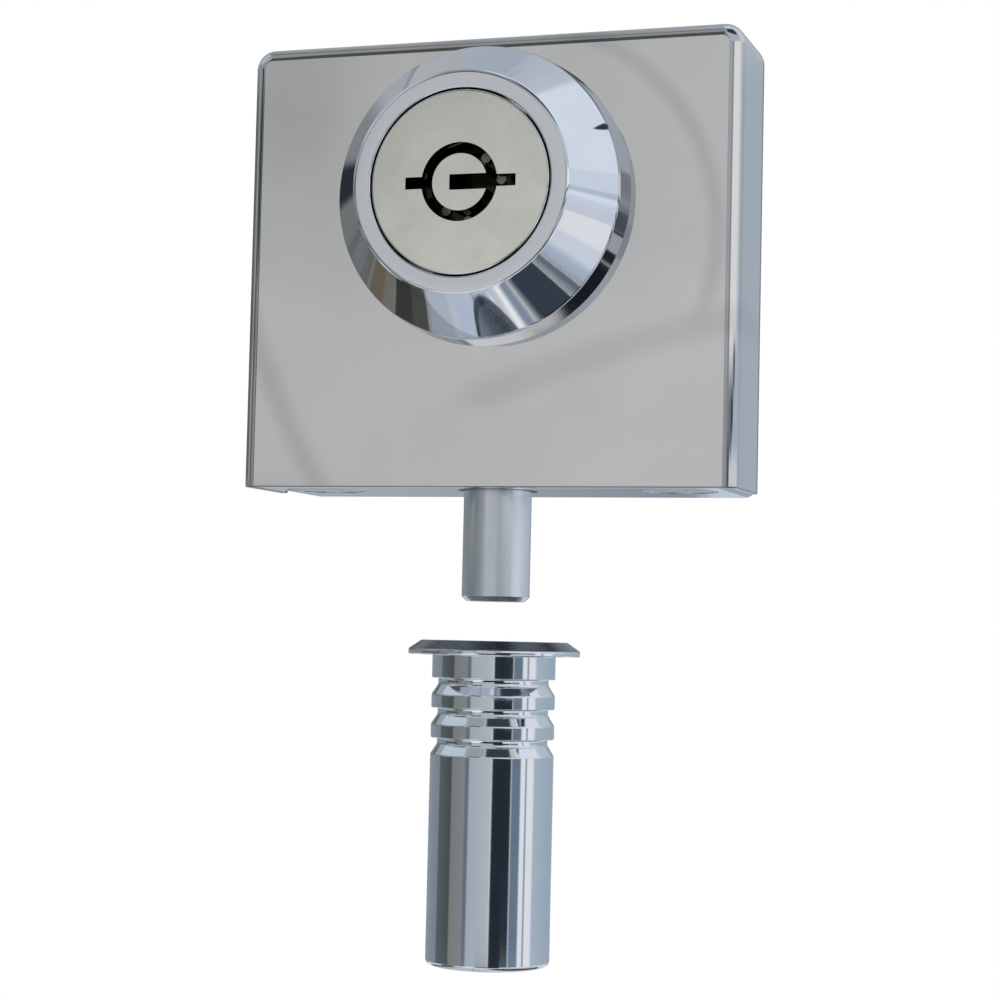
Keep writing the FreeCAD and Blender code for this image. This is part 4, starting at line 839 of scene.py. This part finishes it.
# Above the lock: what the rounded edge along the cover's top reflects, in stripes.
card("top_dark", (-32, -7), (16.3, 43.5), 2.1, "#595A54", "#5E605A", soft=2, soft_ends=0.5)
card("top_light", (-44, -14), (43, 58), 2.1, "#A4A8A9", soft=3, soft_ends=1.5)
card("top_dark_line", (-80, -20), (59, 70.5), 2.1, "#86877F", soft=6, soft_ends=2)
card("top_outer", (-168, -124), (15, 51), 2.1, "#B7BABC", soft=5, soft_ends=3)
card("upper_dark", (-4, 72), (40, 80), 2.2, "#39424C", soft=8, soft_ends=4)
card("upper_left_pale", (-112, -50), (24, 60), 2.3, "#C9D6E2", soft=5, soft_ends=3)

# Level with the lock: what the plate, the collar and the cover's other rounded edges reflect.
card("plate_front", (-26.5, -9.5), (-3, 15.6), 2.3, "#D2D3D2", "#DFDFE0", soft=0.5, soft_ends=0.4)
card("plate_shade", (-27, -9), (7.5, 19.5), 2.2, "#C6C7C7", "#D9DBDC", soft=0.5, soft_ends=3)
card("plate_corner", (-27, -21), (10.5, 19.5), 2.15, "#BCBDBD", soft=3, soft_ends=3)
card("plate_right_line", (-10.4, -8), (-1, 15.9), 2.1, "#6E7374", soft=0.6)
card("right_grey", (-9, 21), (-1, 17), 2.3, "#BABEC3", "#B4B8BD", soft=2)
card("right_line", (16, 29), (-1, 17), 2.25, "#9A9DA4", soft=3)
card("right_low_grey", (-8.5, 62), (-2, 7.4), 2.1, "#B4B9C0", "#626D76", soft=2, soft_ends=2)
card("right_low_pale", (60, 126), (-2, 7.6), 2.12, "#C4CFDD", soft=3, soft_ends=1)
card("right_low_white", (34, 124), (-2, 4.4), 2.08, "#EAF2FA", soft=4, soft_ends=0.8)
card("right_dark_upper", (62, 82), (5.4, 7.6), 2.05, "#5A6471", soft=5, soft_ends=0.8)
card("right_dark_middle", (50, 72), (4.2, 6.2), 2.04, "#3E4854", soft=5, soft_ends=0.8)
card("right_dark_lower", (22, 46), (-2, 4.8), 2.03, "#56616B", soft=8, soft_ends=0.8)
card("left_near_flag", (-32, -25.6), (-1, 15.4), 2.2, "#585E5D", soft=0.8)
card("left_grey", (-56, -31), (-1, 9.5), 2.2, "#8C9191", "#A3A7A6", soft=2)
card("left_dark_flag", (-53, -38), (8.5, 17), 2.15, "#343C43", soft=3, soft_ends=2)
card("left_dark_line", (-66, -54), (-1, 14), 2.18, "#565B59", soft=2)
card("left_light", (-88, -63), (-1, 17), 2.2, "#A9ACA8", soft=3)
card("upper_left_grey", (-47, -31), (14, 27), 2.2, "#A0A4A9", "#A4A8AC", soft=3, soft_ends=3)
card("upper_left_light", (-45, -30), (22, 43), 2.19, "#D0D4D8", soft=3, soft_ends=5)
card("right_white", (28, 86), (-1, 18), 2.2, "#FFFFFF", soft=4)
card("right_pale", (82, 108), (-1, 18), 2.25, "#DDE5EF", soft=4)
card("back_pale", (-182, -163), (-1, 18), 2.2, "#B4BFCA", soft=1.5)
card("below_case", (-168.5, -154), (-10, -1.2), 1.9, "#838D99", "#B4BAC1", soft=1, soft_ends=0.6)
card("below_corner", (-176, -166.5), (-10, -1.2), 1.92, "#C6D0DE", soft=1, soft_ends=0.6)

# Close round the bolt, in the narrow band that only the bolt reflects.
card("bolt_left", (-190, -34), (-6.9, -0.5), 0.3, "#8A9195", "#8E9498", soft=8, soft_ends=0.4)
card("bolt_front", (-44, 104), (-6.9, -0.5), 0.31, "#B3B8BD", "#D8DEE8", soft=12, soft_ends=0.4)
card("bolt_right", (94, 176), (-6.9, -0.5), 0.32, "#E2E8F2", "#A9AFBB", soft=8, soft_ends=0.4)

# Below the lock's level: what the strike's barrel reflects, side by side right round it.
card("barrel_back_left", (-168, -88), (-13.5, -0.6), 2.02, "#98A2AB", "#828D96", soft=3, soft_ends=0.5)
card("barrel_dark", (-96, -58), (-13.5, -0.6), 1.98, "#5E6A6D", "#4A5354", soft=4, soft_ends=0.5)
card("barrel_olive", (-63, -25), (-13.5, -0.6), 2.0, "#84867F", "#8C9294", soft=4, soft_ends=0.5)
card("barrel_line", (-33, -23), (-13.5, -0.6), 1.97, "#6E7884", soft=2.5, soft_ends=0.5)
card("barrel_front", (-36, 19), (-13.5, -0.6), 2.01, "#A6B2BB", "#C2C9CD", soft=2.5, soft_ends=0.5)
card("barrel_black", (17, 57), (-13.5, -0.6), 1.96, "#262E37", soft=4, soft_ends=2)
card("barrel_steel_blue", (55, 78), (-13.5, -0.6), 2.0, "#6C8093", soft=2, soft_ends=0.5)
card("right_low", (72, 106), (-13.5, 2), 1.98, "#D8E0EC", soft=3, soft_ends=2.5)
card("barrel_white", (74.5, 102.5), (-24, -3), 0.5, "#F2F3F5", soft=1.5, soft_ends=3)
card("barrel_seam", (83, 88.5), (-24, -3), 0.49, "#9CA6AE", soft=1.5, soft_ends=3)
card("barrel_back_right", (101, 199), (-13.5, -0.6), 2.02, "#B4C3CE", "#98A9B9", soft=4, soft_ends=0.5)

# Near the floor: what the lower half of the collar reflects, its cone and its side.
card("low_brown", (-70, -48), (-24, -13), 1.1, "#857B6A", soft=3)
card("low_grey", (-78, -48), (-29, -20), 0.9, "#928E83", soft=3, soft_ends=2)
card("low_dark", (-84, -48), (-38, -27), 0.7, "#4A4C46", soft=4, soft_ends=1)
card("low_right_white", (72, 128), (-38, -15), 0.7, "#DCE4ED", soft=8, soft_ends=6)
card("low_front_dark", (-5, 42), (-27.5, -13.2), 1.0, "#20272F", soft=4)
card("low_front_gap", (-5, 42), (-21, -12.3), 1.28, "#2A323A", soft=3, soft_ends=0.5)
card("low_front_white", (-28, -6), (-27.5, -13.6), 0.98, "#FFFFFF", soft=3)
strip("under_far_left", -620, -330, "#5E605A", 40)
strip("under_left", -375, -190, "#BAC3CC", 45)
strip("under_middle", -230, 45, "#C2CDDC", 40)
strip("under_smudge", -86, -62, "#8F99A6", 10)
strip("under_streak", 38, 82, "#FFFFFF", 18)
strip("under_grey", 66, 130, "#8C99A8", 24)
strip("under_dark", 104, 420, "#3A434F", 60)
strip("under_blue", 340, 540, "#67757F", 70)
strip("under_right", 440, 720, "#B4C1D1", 90)

# Soft lamps at a plain level. Reflections show the cards and not the lamps.
for name, place, size, power in (
        ("key", (-0.9, -1.1, 1.1), 0.8, 8.0), ("fill", (1.3, -0.9, 0.5), 1.0, 5.0),
        ("back", (0.4, 1.3, 1.0), 0.9, 5.0)):
    light = bpy.data.lights.new("lamp_" + name, "AREA")
    light.shape = "DISK"
    light.size = size
    light.energy = power
    lamp = bpy.data.objects.new("lamp_" + name, light)
    lamp.location = place
    lamp.rotation_euler = (room_centre - Vector(place)).to_track_quat("-Z", "Y").to_euler()
    lamp.visible_glossy = False
    bpy.context.scene.collection.objects.link(lamp)

# Camera. It stands right of the lock and below the cylinder, turned to the left and slightly up.
camera_data = bpy.data.cameras.new("camera")
camera_data.sensor_width = 36.0
camera_data.lens = 83.58
camera_data.clip_start = 0.01
camera = bpy.data.objects.new("camera", camera_data)
turn_left = Matrix.Rotation(math.radians(17.985), 4, "Z")
look_up = Matrix.Rotation(math.radians(90 + 3.432), 4, "X")
roll = Matrix.Rotation(math.radians(1.329), 4, "Z")
camera.matrix_world = Matrix.Translation((0.105771, -0.341275, -0.063813)) @ turn_left @ look_up @ roll
bpy.context.scene.collection.objects.link(camera)
bpy.context.scene.camera = camera
bpy.context.scene.view_settings.view_transform = "Standard"
